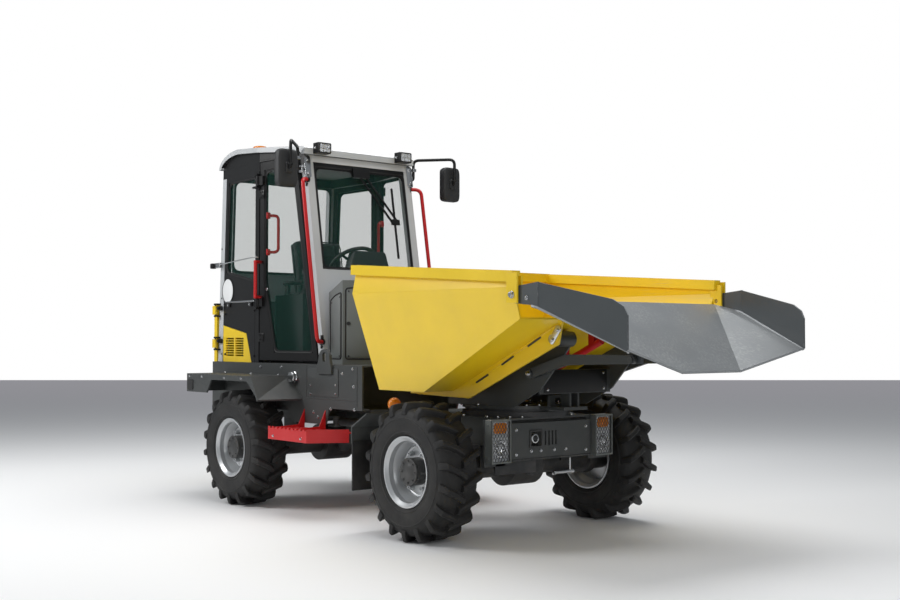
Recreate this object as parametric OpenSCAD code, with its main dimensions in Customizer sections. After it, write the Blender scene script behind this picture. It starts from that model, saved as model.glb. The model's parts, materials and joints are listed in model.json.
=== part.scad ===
// Articulated site dumper with a cab, a swivel skip on a turntable and a folding pouring chute.
// Lengths are in millimetres, +X forward, +Y to the machine's left, +Z up.
// Inside the modules X is counted from the front axle; the last lines move the origin to mid length.

/* [Wheels and frame] */
// Distance between the front and the rear axle
wheelbase = 2140; // [2080:5:2240]
// Distance between the middle planes of the wheels
track = 1534; // [1500:2:1580]
// Outside diameter over the lug tips
tyre_d = 845; // [820:1:860]
// Width of the tyre at its widest
tyre_w = 290; // [270:1:300]
// Outside diameter of the rim's flange
rim_d = 430; // [410:1:450]
// Width of the rim over its flanges
rim_w = 260; // [240:1:270]
// Lugs on each half of the tread
lug_count = 18; // [12:1:20]
// Half of the rear frame's width
frame_y = 590; // [560:1:600]
// Height of the rear frame's deck
deck_z = 1040; // [1020:1:1060]
// Thickness of the frame's plates
plate_t = 12; // [8:1:16]
// Distance of the steering pivot behind the front axle
pivot_back = 1050; // [1030:1:1070]

/* [Skip and chute] */
// Length of the skip at its rail
skip_l = 1540; // [1480:5:1580]
// Half of the skip's width at its widest line
skip_y = 860; // [820:1:880]
// Height of the skip's rear rail
skip_rear_z = 1695; // [1660:1:1720]
// Height of the skip's front rail
skip_front_z = 1592; // [1570:1:1610]
// Thickness of the skip's sheet
skip_wall = 8; // [5:1:12]
// Thickness of the chute's sheet
chute_t = 8; // [5:1:12]
// Height of the tipping axis
tip_z = 1220; // [1205:1:1225]

/* [Cab] */
// Height of the cab's roof edge
roof_z = 2590; // [2540:5:2640]
// Half of the cab's width at the front pillars
cab_front_y = 480; // [450:1:490]
// Half of the cab's width at the door hinges
cab_mid_y = 570; // [550:1:575]
// Half of the cab's width at the rear pillars
cab_rear_y = 530; // [510:1:540]
// Thickness of the doors and the cab's walls
wall_t = 40; // [30:1:45]
// Thickness of the window glass
glass_t = 6; // [4:1:8]

/* [Hidden] */
$fn = 64;

// Overrun of every cut past the face it opens
over = 1;
// Gap between faces that move past each other
clear = 6;
// Radial play of a pin in its bore
play = 0.05;
// Gap left at a seat between soft or curved neighbours
seat_gap = 0.3;
// Swell of a bent bar at its bends
bend_swell = 1.6;

axle_z = tyre_d / 2;
wheel_y = track / 2;
rear_x = -wheelbase;
pivot_x = -pivot_back;

// Places shared by several pieces
cab_floor_x = -1510;
cab_rear_x = -3010;
door_hinge_x = -2290;
hood_rear_x = -3085;
hitch_reach = 60;
lip_x = 1665;
front_end = lip_x;
rear_end = hood_rear_x - hitch_reach;
origin_x = (front_end + rear_end) / 2;

// Shapes used by many pieces

// A plate whose outline is given as [x, z] points, from y0 to y0 + t
module plate_xz(points, y0, t) {
  translate([0, y0 + t, 0]) rotate([90, 0, 0]) linear_extrude(t) polygon(points);
}

// A plate whose outline is given as [y, z] points, from x0 to x0 + t
module plate_yz(points, x0, t) {
  translate([x0, 0, 0]) rotate([90, 0, 90]) linear_extrude(t) polygon(points);
}

// A plate whose outline is given as [x, y] points, from z0 to z0 + t
module plate_xy(points, z0, t) {
  translate([0, 0, z0]) linear_extrude(t) polygon(points);
}

// The same shape on the right and on the left
module both_sides() {
  children();
  mirror([0, 1, 0]) children();
}

// Turns +Z towards the line from a to b and moves to a
module along(a, b) {
  v = b - a;
  translate(a) rotate([0, acos(v[2] / norm(v)), atan2(v[1], v[0])]) children();
}

// A round bar between two points
module rod(a, b, d) {
  along(a, b) cylinder(d = d, h = norm(b - a));
}

// A round bar bent at the inner points of a route
module bent_rod(route, d) {
  for (i = [0 : len(route) - 2]) rod(route[i], route[i + 1], d);
  for (i = [1 : len(route) - 2]) translate(route[i]) sphere(d = d + bend_swell);
}

// A cylinder along Y from y0 to y0 + l
module cyl_y(x, z, r, y0, l) {
  translate([x, y0 + l, z]) rotate([90, 0, 0]) cylinder(r = r, h = l);
}

// A cylinder along X from x0 to x0 + l
module cyl_x(y, z, r, x0, l) {
  translate([x0, y, z]) rotate([0, 90, 0]) cylinder(r = r, h = l);
}

// A box from its low corner to its high corner
module box(a, b) {
  translate(a) cube(b - a);
}

// A sheet ruled between two rows of points, as thick as the vector says
module ruled_sheet(row_a, row_b, thick) {
  n = len(row_a);
  top = concat(row_a, row_b);
  bottom = [for (p = top) p + thick];
  quads = [for (i = [0 : n - 2]) each [[i, i + 1, n + i + 1], [i, n + i + 1, n + i]]];
  under = [for (f = quads) [f[2] + 2 * n, f[1] + 2 * n, f[0] + 2 * n]];
  edge = concat([for (i = [0 : n - 1]) i], [for (i = [n - 1 : -1 : 0]) n + i]);
  rim = [for (i = [0 : 2 * n - 1]) let (a = edge[i], b = edge[(i + 1) % (2 * n)])
    each [[b, a, a + 2 * n], [b, a + 2 * n, b + 2 * n]]];
  polyhedron(concat(top, bottom), concat(quads, under, rim));
}

// Wheels

lug_h = 32;
lug_w = 40;
lug_root = 62;
lug_lead = 70;
lug_inner = 12;
lug_bend_share = 0.62;
lug_knee_share = 0.54;
crown_r = axle_z - lug_h;
crown_drop = 4;
shoulder_drop = 12;
flange_h = 20;
flange_t = 14;
flange_gap = 3;
bead_r = rim_d / 2 - flange_h;
bead_y = rim_w / 2 - flange_t - flange_gap;
shoulder_y = tyre_w / 2 - flange_t;
lug_y = shoulder_y + flange_gap;
side_low_r = rim_d / 2 + flange_gap;
side_high_r = crown_r - shoulder_drop;
side_steps = 7;
side_arc = 72;

// One point of the sidewall's arc, from the bead to the shoulder
function side_point(i) = let (
    share = i / side_steps,
    a = side_arc * (2 * share - 1),
    swell = (cos(a) - cos(side_arc)) / (1 - cos(side_arc)),
    edge = bead_y + (shoulder_y - bead_y) * share)
  [side_low_r + (side_high_r - side_low_r) * (sin(a) / sin(side_arc) + 1) / 2,
   edge + (tyre_w / 2 - edge) * swell];

tyre_half = concat([[bead_r, bead_y]], [for (i = [0 : side_steps]) side_point(i)],
  [[crown_r - crown_drop, shoulder_y / 2], [crown_r, 0]]);

// One lug of a half tread: it leans back from the middle and ends square at the shoulder
module lug() {
  knee = lug_lead * lug_bend_share;
  outline = [
    [-lug_w / 2, -lug_inner], [lug_w / 2, -lug_inner],
    [knee + lug_w / 2, shoulder_y * lug_knee_share], [lug_lead + lug_w / 2, lug_y],
    [lug_lead - lug_w / 2, lug_y], [knee - lug_w / 2, shoulder_y * lug_knee_share]
  ];
  intersection() {
    translate([0, 0, axle_z - lug_root]) linear_extrude(lug_root + over) polygon(outline);
    rotate([90, 0, 0]) cylinder(r = axle_z, h = tyre_w, center = true);
  }
}

module tyre(x, side) {
  n = len(tyre_half);
  turned = [for (i = [n - 2 : -1 : 0]) [tyre_half[i][0], -tyre_half[i][1]]];
  color("#232323") translate([x, side * wheel_y, axle_z]) scale([1, side, 1]) {
    rotate([90, 0, 0]) rotate_extrude() polygon(concat(tyre_half, turned));
    for (i = [0 : lug_count - 1]) {
      rotate([0, i * 360 / lug_count, 0]) lug();
      rotate([0, (i + 1 / 2) * 360 / lug_count, 0]) mirror([0, 1, 0]) lug();
    }
  }
}
module tyre_front_right() tyre(0, -1);
module tyre_front_left() tyre(0, 1);
module tyre_rear_right() tyre(rear_x, -1);
module tyre_rear_left() tyre(rear_x, 1);

// Rim, disc and hub are one welded and bolted wheel; its profile runs along +Y to the outside
rim_t = 9;
bead_w = 34;
well_r = 168;
well_in = -50;
well_out = 26;
disc_in = 8;
disc_out = 20;
hub_r = 84;
hub_face = 92;
hub_cap_r = 74;
hub_cap_h = 8;
hub_back = -121;
stub_r = 45;
stub_end = -12;
nut_r = 14;
nut_h = 20;
nut_ring = 118;
nut_count = 6;
axle_face = 6;

module wheel(x, side) {
  flange_in = rim_d / 2 - rim_t;
  color("#b8bcc0") translate([x, side * wheel_y, axle_z]) scale([1, side, 1]) {
    difference() {
      rotate([-90, 0, 0]) union() {
        rotate_extrude() polygon([
          [rim_d / 2, -rim_w / 2], [rim_d / 2, -rim_w / 2 + flange_t], [bead_r, -bead_y],
          [bead_r, -bead_y + bead_w], [well_r, well_in], [well_r, well_out],
          [bead_r, bead_y - bead_w], [bead_r, bead_y], [rim_d / 2, rim_w / 2 - flange_t],
          [rim_d / 2, rim_w / 2], [flange_in, rim_w / 2], [bead_r - rim_t, bead_y],
          [bead_r - rim_t, bead_y - bead_w], [well_r - rim_t, well_out],
          [well_r - rim_t, well_in], [bead_r - rim_t, -bead_y + bead_w],
          [bead_r - rim_t, -bead_y], [flange_in, -rim_w / 2]
        ]);
        translate([0, 0, disc_in]) cylinder(r = well_r - rim_t / 2, h = disc_out - disc_in);
        translate([0, 0, hub_back]) cylinder(r = hub_r, h = hub_face - hub_back);
        translate([0, 0, hub_face]) cylinder(r = hub_cap_r, h = hub_cap_h);
        for (i = [0 : nut_count - 1]) rotate([0, 0, i * 360 / nut_count])
          translate([nut_ring, 0, disc_out]) cylinder(r = nut_r, h = nut_h);
      }
      rotate([-90, 0, 0]) translate([0, 0, hub_back - over])
        cylinder(r = stub_r + play, h = stub_end + over - hub_back);
    }
  }
}
module wheel_front_right() wheel(0, -1);
module wheel_front_left() wheel(0, 1);
module wheel_rear_right() wheel(rear_x, -1);
module wheel_rear_left() wheel(rear_x, 1);

// Axles: a drive housing in the middle, round arms and stub shafts that carry the hubs
axle_r = 78;
axle_flange_r = 104;
axle_flange_t = 60;
drive_r = 138;
drive_w = 250;
neck_r = 66;
neck_l = 190;
pad_x = 90;
module axle(x, top) {
  flange_y = wheel_y + hub_back - axle_face;
  color("#2f3234") translate([x, 0, axle_z]) {
    cyl_y(0, 0, axle_r, -flange_y, 2 * flange_y);
    cyl_y(0, 0, stub_r, -wheel_y - stub_end + clear, 2 * (wheel_y + stub_end - clear));
    cyl_y(0, 0, drive_r, -drive_w / 2, drive_w);
    cyl_x(0, 0, neck_r, 0, neck_l);
    both_sides() {
      cyl_y(0, 0, axle_flange_r, flange_y - axle_flange_t, axle_flange_t);
      box([-pad_x, rail_in, 0], [pad_x, rail_out, top - axle_z]);
    }
  }
}
module front_axle() axle(0, front_bottom_z);
module rear_axle() axle(rear_x, rail_low);

// Rear frame
frame_tail_in = 20;
frame_rear_x = cab_rear_x + frame_tail_in;
frame_front_x = -886;
frame_low = 620;
frame_tail_low = 700;
frame_nose_low = 735;
frame_knee_x = -1290;
frame_foot_x = -1330;
frame_arch_x = -1760;
frame_arch_end_x = -1830;
rail_in = 320;
rail_out = 380;
rail_low = 620;
rail_high = 700;
deck_rear_x = -2330;
deck_nose_x = -1085;
deck_nose_y = 260;
deck_side_x = -1000;
deck_side_y = 400;
bulk_x = -1640;
nose_flange_w = 60;
yoke_r = 105;
yoke_t = 30;
yoke_high = 690;
yoke_low = 440;
yoke_root_y = 300;
yoke_box_y = 200;
yoke_box_x = -1190;
pivot_r = 40;
pivot_head_r = 58;
pivot_head_h = 12;
tail_cross_z = 780;
tail_beam_h = 40;
tail_beam_d = 76;
ledge_y = 440;
inner_y = frame_y - plate_t;

module yoke_plate(z, root_y) {
  translate([0, 0, z]) linear_extrude(yoke_t) difference() {
    union() {
      translate([pivot_x, 0]) circle(r = yoke_r);
      polygon([[bulk_x, -root_y], [yoke_box_x, -root_y], [pivot_x, -yoke_r],
        [pivot_x, yoke_r], [yoke_box_x, root_y], [bulk_x, root_y]]);
    }
    translate([pivot_x, 0]) circle(r = pivot_r);
  }
}

module rear_chassis() {
  side = [[frame_rear_x, frame_tail_low], [frame_arch_end_x, frame_tail_low], [frame_arch_x, frame_low],
    [frame_foot_x, frame_low], [frame_knee_x, frame_nose_low], [frame_front_x, frame_nose_low],
    [frame_front_x, deck_z], [frame_rear_x, deck_z]];
  color("#4b4f4f") {
    both_sides() {
      plate_xz(side, inner_y, plate_t);
      box([frame_rear_x, rail_in, rail_low], [bulk_x, rail_out, rail_high]);
      box([frame_knee_x, frame_y - nose_flange_w, frame_nose_low],
        [frame_front_x, inner_y, frame_nose_low + plate_t]);
      box([frame_rear_x, ledge_y, deck_z - plate_t], [deck_rear_x, inner_y, deck_z]);
      box([bulk_x, yoke_box_y - plate_t, yoke_low], [yoke_box_x, yoke_box_y, yoke_high + yoke_t]);
    }
    plate_xy([[deck_rear_x, -inner_y], [frame_front_x, -inner_y], [deck_side_x, -deck_side_y],
      [deck_nose_x, -deck_nose_y], [deck_nose_x, deck_nose_y], [deck_side_x, deck_side_y],
      [frame_front_x, inner_y], [deck_rear_x, inner_y]], deck_z - plate_t, plate_t);
    box([bulk_x - plate_t, -inner_y, frame_low], [bulk_x, inner_y, deck_z - plate_t]);
    box([bulk_x - plate_t, -yoke_box_y, yoke_low], [bulk_x, yoke_box_y, frame_low]);
    box([frame_rear_x, -inner_y, rail_low], [frame_rear_x + plate_t, inner_y, tail_cross_z]);
    box([frame_rear_x, -inner_y, deck_z - tail_beam_h], [frame_rear_x + tail_beam_d, inner_y, deck_z]);
    yoke_plate(yoke_high, yoke_root_y);
    yoke_plate(yoke_low, yoke_box_y);
    translate([pivot_x, 0, yoke_low]) cylinder(r = pivot_r, h = yoke_high + yoke_t - yoke_low);
    translate([pivot_x, 0, yoke_high + yoke_t]) cylinder(r = pivot_head_r, h = pivot_head_h);
    steer_ears(bulk_x, steer_base_x, steer_base_y, true);
  }
}

// Steering cylinder on the right: its base pin sits on the rear frame, its rod's eye on the front frame
steer_base_x = -1570;
steer_base_y = -330;
steer_eye_x = -820;
steer_eye_y = -300;
steer_z = 620;
steer_pin_r = 18;
steer_eye_r = 32;
steer_eye_half = 22;
steer_ear_t = 14;
steer_ear_r = 38;
steer_ear_gap = 3;
steer_tube_r = 31;
steer_tube_start = 56;
steer_tube_end = 480;
steer_rod_r = 17;
steer_rod_l = 470;
steer_gland_r = 36;
steer_gland_l = 40;
steer_turn = atan2(steer_eye_y - steer_base_y, steer_eye_x - steer_base_x);
steer_len = norm([steer_eye_x - steer_base_x, steer_eye_y - steer_base_y]);

// Two ears from the plate at root_x to a pin; the pin is drawn only where it stays in its eye
module steer_ears(root_x, x, y, pinned) {
  for (s = [-1, 1]) translate([0, 0, steer_z + s * (steer_eye_half + steer_ear_gap + steer_ear_t / 2)
      - steer_ear_t / 2]) linear_extrude(steer_ear_t) {
    translate([x, y]) circle(r = steer_ear_r);
    polygon([[x, y - steer_ear_r], [x, y + steer_ear_r], [root_x, y + steer_ear_r],
      [root_x, y - steer_ear_r]]);
  }
  if (pinned) translate([x, y, steer_z - steer_eye_half - steer_ear_gap - steer_ear_t / 2])
    cylinder(r = steer_pin_r, h = 2 * (steer_eye_half + steer_ear_gap) + steer_ear_t);
}

module steer_place() {
  translate([steer_base_x, steer_base_y, steer_z]) rotate([0, 0, steer_turn]) children();
}

module steer_barrel() {
  color("#55595a") steer_place() difference() {
    union() {
      translate([0, 0, -steer_eye_half]) cylinder(r = steer_eye_r, h = 2 * steer_eye_half);
      cyl_x(0, 0, steer_eye_half - steer_ear_gap, 0, steer_tube_start);
      cyl_x(0, 0, steer_tube_r, steer_tube_start, steer_tube_end - steer_tube_start);
      cyl_x(0, 0, steer_gland_r, steer_tube_end - steer_gland_l, steer_gland_l);
    }
    translate([0, 0, -steer_eye_half - over])
      cylinder(r = steer_pin_r + play, h = 2 * (steer_eye_half + over));
    cyl_x(0, 0, steer_rod_r + play, steer_tube_start + steer_ear_t, steer_tube_end);
  }
}

module steer_rod() {
  color("#c9ccce") steer_place() {
    cyl_x(0, 0, steer_rod_r, steer_len - steer_rod_l, steer_rod_l);
    translate([steer_len, 0, -steer_eye_half]) cylinder(r = steer_eye_r, h = 2 * steer_eye_half);
  }
}

// Engine block stands on the frame's rails
engine_front_x = -2370;
engine_tail_gap = 95;
engine_rear_x = frame_rear_x + engine_tail_gap;
engine_y = 380;
engine_top = 1330;
module engine_block() {
  color("#3a3c3e") box([engine_rear_x, -engine_y, rail_high], [engine_front_x, engine_y, engine_top]);
}

// Rear fenders: a top, an outer skirt with the wheel arch, a sloped front and a rear plate
fender_y = 920;
fender_rear_x = -2787;
fender_front_x = -1803;
fender_toe_x = -1703;
fender_toe_in_x = -1634;
fender_top = 955;
fender_low = 815;
fender_toe_z = 790;
fender_arch_z = 915;
fender_arch_rear_x = -2465;
fender_arch_in_x = -2393;
fender_arch_front_x = -1863;
module rear_fenders() {
  color("#4b4f4f") both_sides() {
    box([fender_rear_x, frame_y, fender_top - plate_t], [fender_front_x, fender_y, fender_top]);
    plate_xz([[fender_rear_x, fender_low], [fender_arch_rear_x, fender_low],
      [fender_arch_in_x, fender_arch_z],
      [fender_arch_front_x, fender_arch_z], [fender_toe_x, fender_toe_z], [fender_front_x, fender_top],
      [fender_rear_x, fender_top]], fender_y - plate_t, plate_t);
    box([fender_rear_x, frame_y, fender_low], [fender_rear_x + plate_t, fender_y, fender_top]);
    ruled_sheet([[fender_front_x, frame_y, fender_top], [fender_front_x, fender_y, fender_top]],
      [[fender_toe_in_x, frame_y, fender_toe_z], [fender_toe_x, fender_y, fender_toe_z]],
      [-plate_t, 0, -plate_t]);
  }
}

// Access steps under the frame, bent inwards at the front to let the front wheel's flap pass
step_y = 888;
step_t = 8;
step_rear_x = -1610;
step_front_x = -1110;
step_toe_x = -965;
step_toe_y = 640;
step_low = 520;
step_high = 610;
step_tread_z = 580;
step_gusset_z = 720;
step_gusset_y = 640;
step_tooth = 25;
step_tooth_h = 12;
module steps() {
  color("#b02a22") both_sides() {
    teeth = floor((step_front_x - step_rear_x) / (2 * step_tooth));
    plate_xz(concat([[step_front_x, step_low], [step_rear_x, step_low]],
      [for (i = [0 : teeth - 1]) each [
        [step_rear_x + 2 * i * step_tooth, step_high], [step_rear_x + (2 * i + 1) * step_tooth, step_high],
        [step_rear_x + (2 * i + 1) * step_tooth, step_high - step_tooth_h],
        [step_rear_x + (2 * i + 2) * step_tooth, step_high - step_tooth_h]]],
      [[step_front_x, step_high - step_tooth_h]]), step_y - step_t, step_t);
    plate_xy([[step_rear_x, frame_y], [step_rear_x, step_y], [step_front_x, step_y], [step_toe_x, step_toe_y],
      [step_toe_x, frame_y]], step_tread_z, step_t);
    plate_xy([[step_front_x, step_y], [step_toe_x, step_toe_y], [step_toe_x - step_t, step_toe_y],
      [step_front_x - step_t, step_y - step_t]], step_low, step_high - step_low);
    for (x = [step_rear_x, frame_foot_x - step_t])
      plate_yz([[step_y - step_t, step_low], [step_y - step_t, step_high - step_tooth_h],
        [step_gusset_y, step_high], [frame_y, step_gusset_z], [frame_y, step_low]], x, step_t);
  }
}

// Lifting eyes on the frame's sides: a round head with an upright slot
eye_x = -1325;
eye_w = 180;
eye_low = 975;
eye_high = 1150;
eye_r = 70;
eye_foot_h = 45;
eye_t = 20;
eye_slot_r = 20;
eye_slot_l = 30;
eye_slot_z = 1094;
module lifting_eyes() {
  color("#4b4f4f") both_sides() difference() {
    union() {
      plate_xz([[eye_x - eye_w / 2, eye_low], [eye_x + eye_w / 2, eye_low],
        [eye_x + eye_w / 2, eye_low + eye_foot_h], [eye_x + eye_r, eye_high - eye_r],
        [eye_x - eye_r, eye_high - eye_r],
        [eye_x - eye_w / 2, eye_low + eye_foot_h]], frame_y, eye_t);
      cyl_y(eye_x, eye_high - eye_r, eye_r, frame_y, eye_t);
    }
    for (s = [-1, 1])
      cyl_y(eye_x, eye_slot_z + s * eye_slot_l / 2, eye_slot_r, frame_y - over, eye_t + 2 * over);
    box([eye_x - eye_slot_r, frame_y - over, eye_slot_z - eye_slot_l / 2],
      [eye_x + eye_slot_r, frame_y + eye_t + over, eye_slot_z + eye_slot_l / 2]);
  }
}

// Tow hitch on the frame's tail: two jaw plates with one vertical pin bore
hitch_y = 60;
hitch_low = 600;
hitch_gap = 40;
hitch_t = 22;
hitch_r = 16;
hitch_back_t = 20;
hitch_back_y = 110;
hitch_back_low = 575;
hitch_pin_in = 45;
module tow_hitch() {
  color("#2f3234") {
    box([frame_rear_x - hitch_back_t, -hitch_back_y, hitch_back_low],
      [frame_rear_x, hitch_back_y, frame_tail_low - clear]);
    for (z = [hitch_low, hitch_low + hitch_t + hitch_gap]) difference() {
      box([rear_end, -hitch_y, z], [frame_rear_x - hitch_back_t, hitch_y, z + hitch_t]);
      translate([rear_end + hitch_pin_in, 0, z - over]) cylinder(r = hitch_r, h = hitch_t + 2 * over);
    }
  }
}

// Tail lamps on the fenders' rear plates
tail_lamp_w = 200;
tail_lamp_h = 70;
tail_lamp_t = 45;
tail_lamp_y = 690;
tail_lamp_z = 850;
module tail_lamps() {
  color("#a0201c") both_sides() box([fender_rear_x - tail_lamp_t, tail_lamp_y, tail_lamp_z],
    [fender_rear_x, tail_lamp_y + tail_lamp_w, tail_lamp_z + tail_lamp_h]);
}

// Cab
cab_lean = 0.174;
pillar_d = 70;
pillar_w = 60;
header_h = 75;
rear_lean_x = 70;
sill_z = 1735;
front_panel_t = 40;
rear_sill_z = 1760;
engine_cover_top = 1514;
cover_gap = 4;
b_pillar_d = 50;

// Front edge of the front pillars at a height
function front_x(z) = cab_floor_x - cab_lean * (z - deck_z);
// Rear edge of the rear pillars at a height
function rear_edge_x(z) = cab_rear_x + rear_lean_x * (z - deck_z) / (roof_z - deck_z);

cab_outline = [[front_x(roof_z), -cab_front_y], [front_x(roof_z), cab_front_y], [door_hinge_x, cab_mid_y],
  [rear_edge_x(roof_z), cab_rear_y], [rear_edge_x(roof_z), -cab_rear_y], [door_hinge_x, -cab_mid_y]];
cab_inside = [[front_x(roof_z) - pillar_d, -cab_front_y + pillar_w],
  [front_x(roof_z) - pillar_d, cab_front_y - pillar_w],
  [door_hinge_x, cab_mid_y - pillar_w], [rear_edge_x(roof_z) + pillar_d, cab_rear_y - pillar_w],
  [rear_edge_x(roof_z) + pillar_d, -cab_rear_y + pillar_w], [door_hinge_x, -cab_mid_y + pillar_w]];

module front_pillar() {
  plate_xz([[front_x(deck_z), deck_z], [front_x(deck_z) - pillar_d, deck_z],
    [front_x(roof_z) - pillar_d, roof_z], [front_x(roof_z), roof_z]], cab_front_y - pillar_w, pillar_w);
}

module cab_frame() {
  color("#b9bdbf") {
    both_sides() {
      front_pillar();
      plate_xz([[rear_edge_x(deck_z), deck_z], [rear_edge_x(deck_z) + pillar_d, deck_z],
        [rear_edge_x(roof_z) + pillar_d, roof_z], [rear_edge_x(roof_z), roof_z]],
        cab_rear_y - pillar_w, pillar_w);
    }
    difference() {
      plate_xy(cab_outline, roof_z - header_h, header_h);
      plate_xy(cab_inside, roof_z - header_h - over, header_h + 2 * over);
      both_sides() door_space();
    }
    plate_xz([[front_x(deck_z), deck_z], [front_x(deck_z) - front_panel_t, deck_z],
      [front_x(sill_z) - front_panel_t, sill_z], [front_x(sill_z), sill_z]],
      -cab_front_y + pillar_w, 2 * (cab_front_y - pillar_w));
    plate_xz([[rear_edge_x(engine_cover_top), engine_cover_top],
      [rear_edge_x(engine_cover_top) + front_panel_t, engine_cover_top],
      [rear_edge_x(rear_sill_z) + front_panel_t, rear_sill_z], [rear_edge_x(rear_sill_z), rear_sill_z]],
      -cab_rear_y + pillar_w, 2 * (cab_rear_y - pillar_w));
  }
}

// The left door's plane runs from its hinge to the front pillar; u is counted forward from the hinge
door_turn = atan2(cab_front_y - cab_mid_y, cab_floor_x - door_hinge_x);
door_rise = 20;
door_drop = 14;
door_low = deck_z + door_rise;
door_high = roof_z - door_drop;
door_back = 8;
door_gap = 6;
function door_front(z) = (front_x(z) - pillar_d - door_gap - door_hinge_x) / cos(door_turn);
door_outline = [[door_back, door_low], [door_front(door_low), door_low], [door_front(door_high), door_high],
  [door_back, door_high]];
module door_plane() {
  translate([door_hinge_x, cab_mid_y, 0]) rotate([0, 0, door_turn]) children();
}
// Room the door takes in the cab's header
module door_space() {
  door_plane() plate_xz([[-over, door_low - door_gap],
    [door_front(door_low) + door_gap + pillar_d, door_low - door_gap],
    [door_front(door_high) + door_gap, door_high + door_gap], [-over, door_high + door_gap]],
    -wall_t - door_gap, wall_t + pillar_w);
}

stile_rear = 58;
stile_front = 44;
door_head = 62;
door_foot = 58;
door_wedge_u = 190;
door_wedge_z = 1660;
function door_window(g) = [[door_wedge_u + g, door_low + door_foot + g],
  [door_front(door_low + door_foot) - stile_front - g, door_low + door_foot + g],
  [door_front(door_high - door_head) - stile_front - g, door_high - door_head - g],
  [stile_rear + g, door_high - door_head - g], [stile_rear + g, door_wedge_z]];
glass_in = 12;
hinge_r = 14;
hinge_h = 70;
hinge_out = 18;
hinge_near = 4;
hinge_fore = 10;
hinge_zs = [1470, 2400];
handle_d = 26;
handle_u = 34;
handle_out = 62;
handle_low = 1540;
handle_high = 1810;

module door_panel() {
  door_plane() {
    difference() {
      plate_xz(door_outline, -wall_t, wall_t);
      plate_xz(door_window(0), -wall_t - over, wall_t + 2 * over);
    }
    bent_rod([[handle_u, -over, handle_low], [handle_u, handle_out, handle_low],
      [handle_u, handle_out, handle_high], [handle_u, -over, handle_high]], handle_d);
    for (z = hinge_zs) {
      difference() {
        box([0, -hinge_out, z], [stile_rear, hinge_out, z + hinge_h]);
        box([-over, -wall_t, z - over], [stile_rear + over, -seat_gap, z + hinge_h + over]);
        translate([0, hinge_out, z - over]) cylinder(r = hinge_r / 2 + play, h = hinge_h + 2 * over);
      }
      difference() {
        translate([0, hinge_out, z]) cylinder(r = hinge_r, h = hinge_h);
        translate([0, hinge_out, z - over]) cylinder(r = hinge_r / 2 + play, h = hinge_h + 2 * over);
      }
    }
  }
}
module door_pane() {
  door_plane() plate_xz(door_window(0), -glass_in - glass_t, glass_t);
}
module door_left() color("#1f2122") door_panel();
module door_right() color("#1f2122") mirror([0, 1, 0]) door_panel();
module door_glass_left() color("#9fc0b4") door_pane();
module door_glass_right() color("#9fc0b4") mirror([0, 1, 0]) door_pane();

// Fixed side walls behind the doors: the hinge post, the band over the engine cover and a rear window
rear_turn = atan2(cab_mid_y - cab_rear_y, door_hinge_x - cab_rear_x);
rear_span = norm([door_hinge_x - cab_rear_x, cab_mid_y - cab_rear_y]);
side_post = 62;
side_border = 40;
side_window_low = 1660;
side_window_rise = 90;
function side_front() = rear_span - door_gap;
function side_rear(z) = pillar_d + cover_gap + (rear_edge_x(z) - cab_rear_x);
side_window = [[side_rear(side_window_low) + side_border, side_window_low + side_window_rise],
  [side_front() - side_post, side_window_low], [side_front() - side_post, roof_z - header_h - side_border],
  [side_rear(roof_z) + side_border, roof_z - header_h - side_border]];
module rear_plane() {
  translate([cab_rear_x, cab_rear_y, 0]) rotate([0, 0, rear_turn]) children();
}
module cab_side_panels() {
  color("#1f2122") hood_hinge_pins();
  color("#1f2122") both_sides() rear_plane() {
    difference() {
      plate_xz([[side_rear(engine_cover_top), engine_cover_top], [side_front() - side_post, engine_cover_top],
        [side_front() - side_post, deck_z], [side_front(), deck_z], [side_front(), roof_z - header_h],
        [side_rear(roof_z - header_h), roof_z - header_h]], -wall_t, wall_t);
      plate_xz(side_window, -wall_t - over, wall_t + 2 * over);
    }
    for (z = hinge_zs) hinge_pin(z);
  }
}
// The pin of a door hinge with its bracket on the post
module hinge_pin(z) {
  translate([rear_span, 0, 0]) rotate([0, 0, door_turn - rear_turn]) {
    translate([0, hinge_out, z - hinge_r]) cylinder(r = hinge_r / 2, h = hinge_h + 2 * hinge_r);
  }
  for (b = [z - hinge_r - clear, z + hinge_h + clear]) {
    box([rear_span - side_post, -over, b], [rear_span - door_gap, hinge_out + hinge_r, b + hinge_r]);
    box([rear_span - door_gap, hinge_near, b], [rear_span + hinge_fore, hinge_out + hinge_r, b + hinge_r]);
  }
}

module cab_windows() {
  color("#9fc0b4") {
    both_sides() rear_plane() plate_xz(side_window, -glass_in - glass_t, glass_t);
    plate_xz([[rear_edge_x(rear_sill_z) + glass_in, rear_sill_z],
      [rear_edge_x(rear_sill_z) + glass_in + glass_t, rear_sill_z],
      [rear_edge_x(roof_z - header_h) + glass_in + glass_t, roof_z - header_h],
      [rear_edge_x(roof_z - header_h) + glass_in, roof_z - header_h]],
      -cab_rear_y + pillar_w, 2 * (cab_rear_y - pillar_w));
  }
}
module windscreen() {
  color("#9fc0b4") plate_xz([[front_x(sill_z) - glass_in, sill_z],
    [front_x(sill_z) - glass_in - glass_t, sill_z],
    [front_x(roof_z - header_h) - glass_in - glass_t, roof_z - header_h],
    [front_x(roof_z - header_h) - glass_in, roof_z - header_h]],
    -cab_front_y + pillar_w, 2 * (cab_front_y - pillar_w));
}

// Roof: a thin arched skin that bends down at the rear, over a filler on the header
roof_over = 26;
roof_skin = 38;
roof_front_h = 58;
roof_crown_h = 130;
roof_nose = 12;
roof_rear_l = 340;
roof_steps = 8;
roof_front = front_x(roof_z) + roof_over;
roof_rear = rear_edge_x(roof_z) - roof_over;
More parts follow.
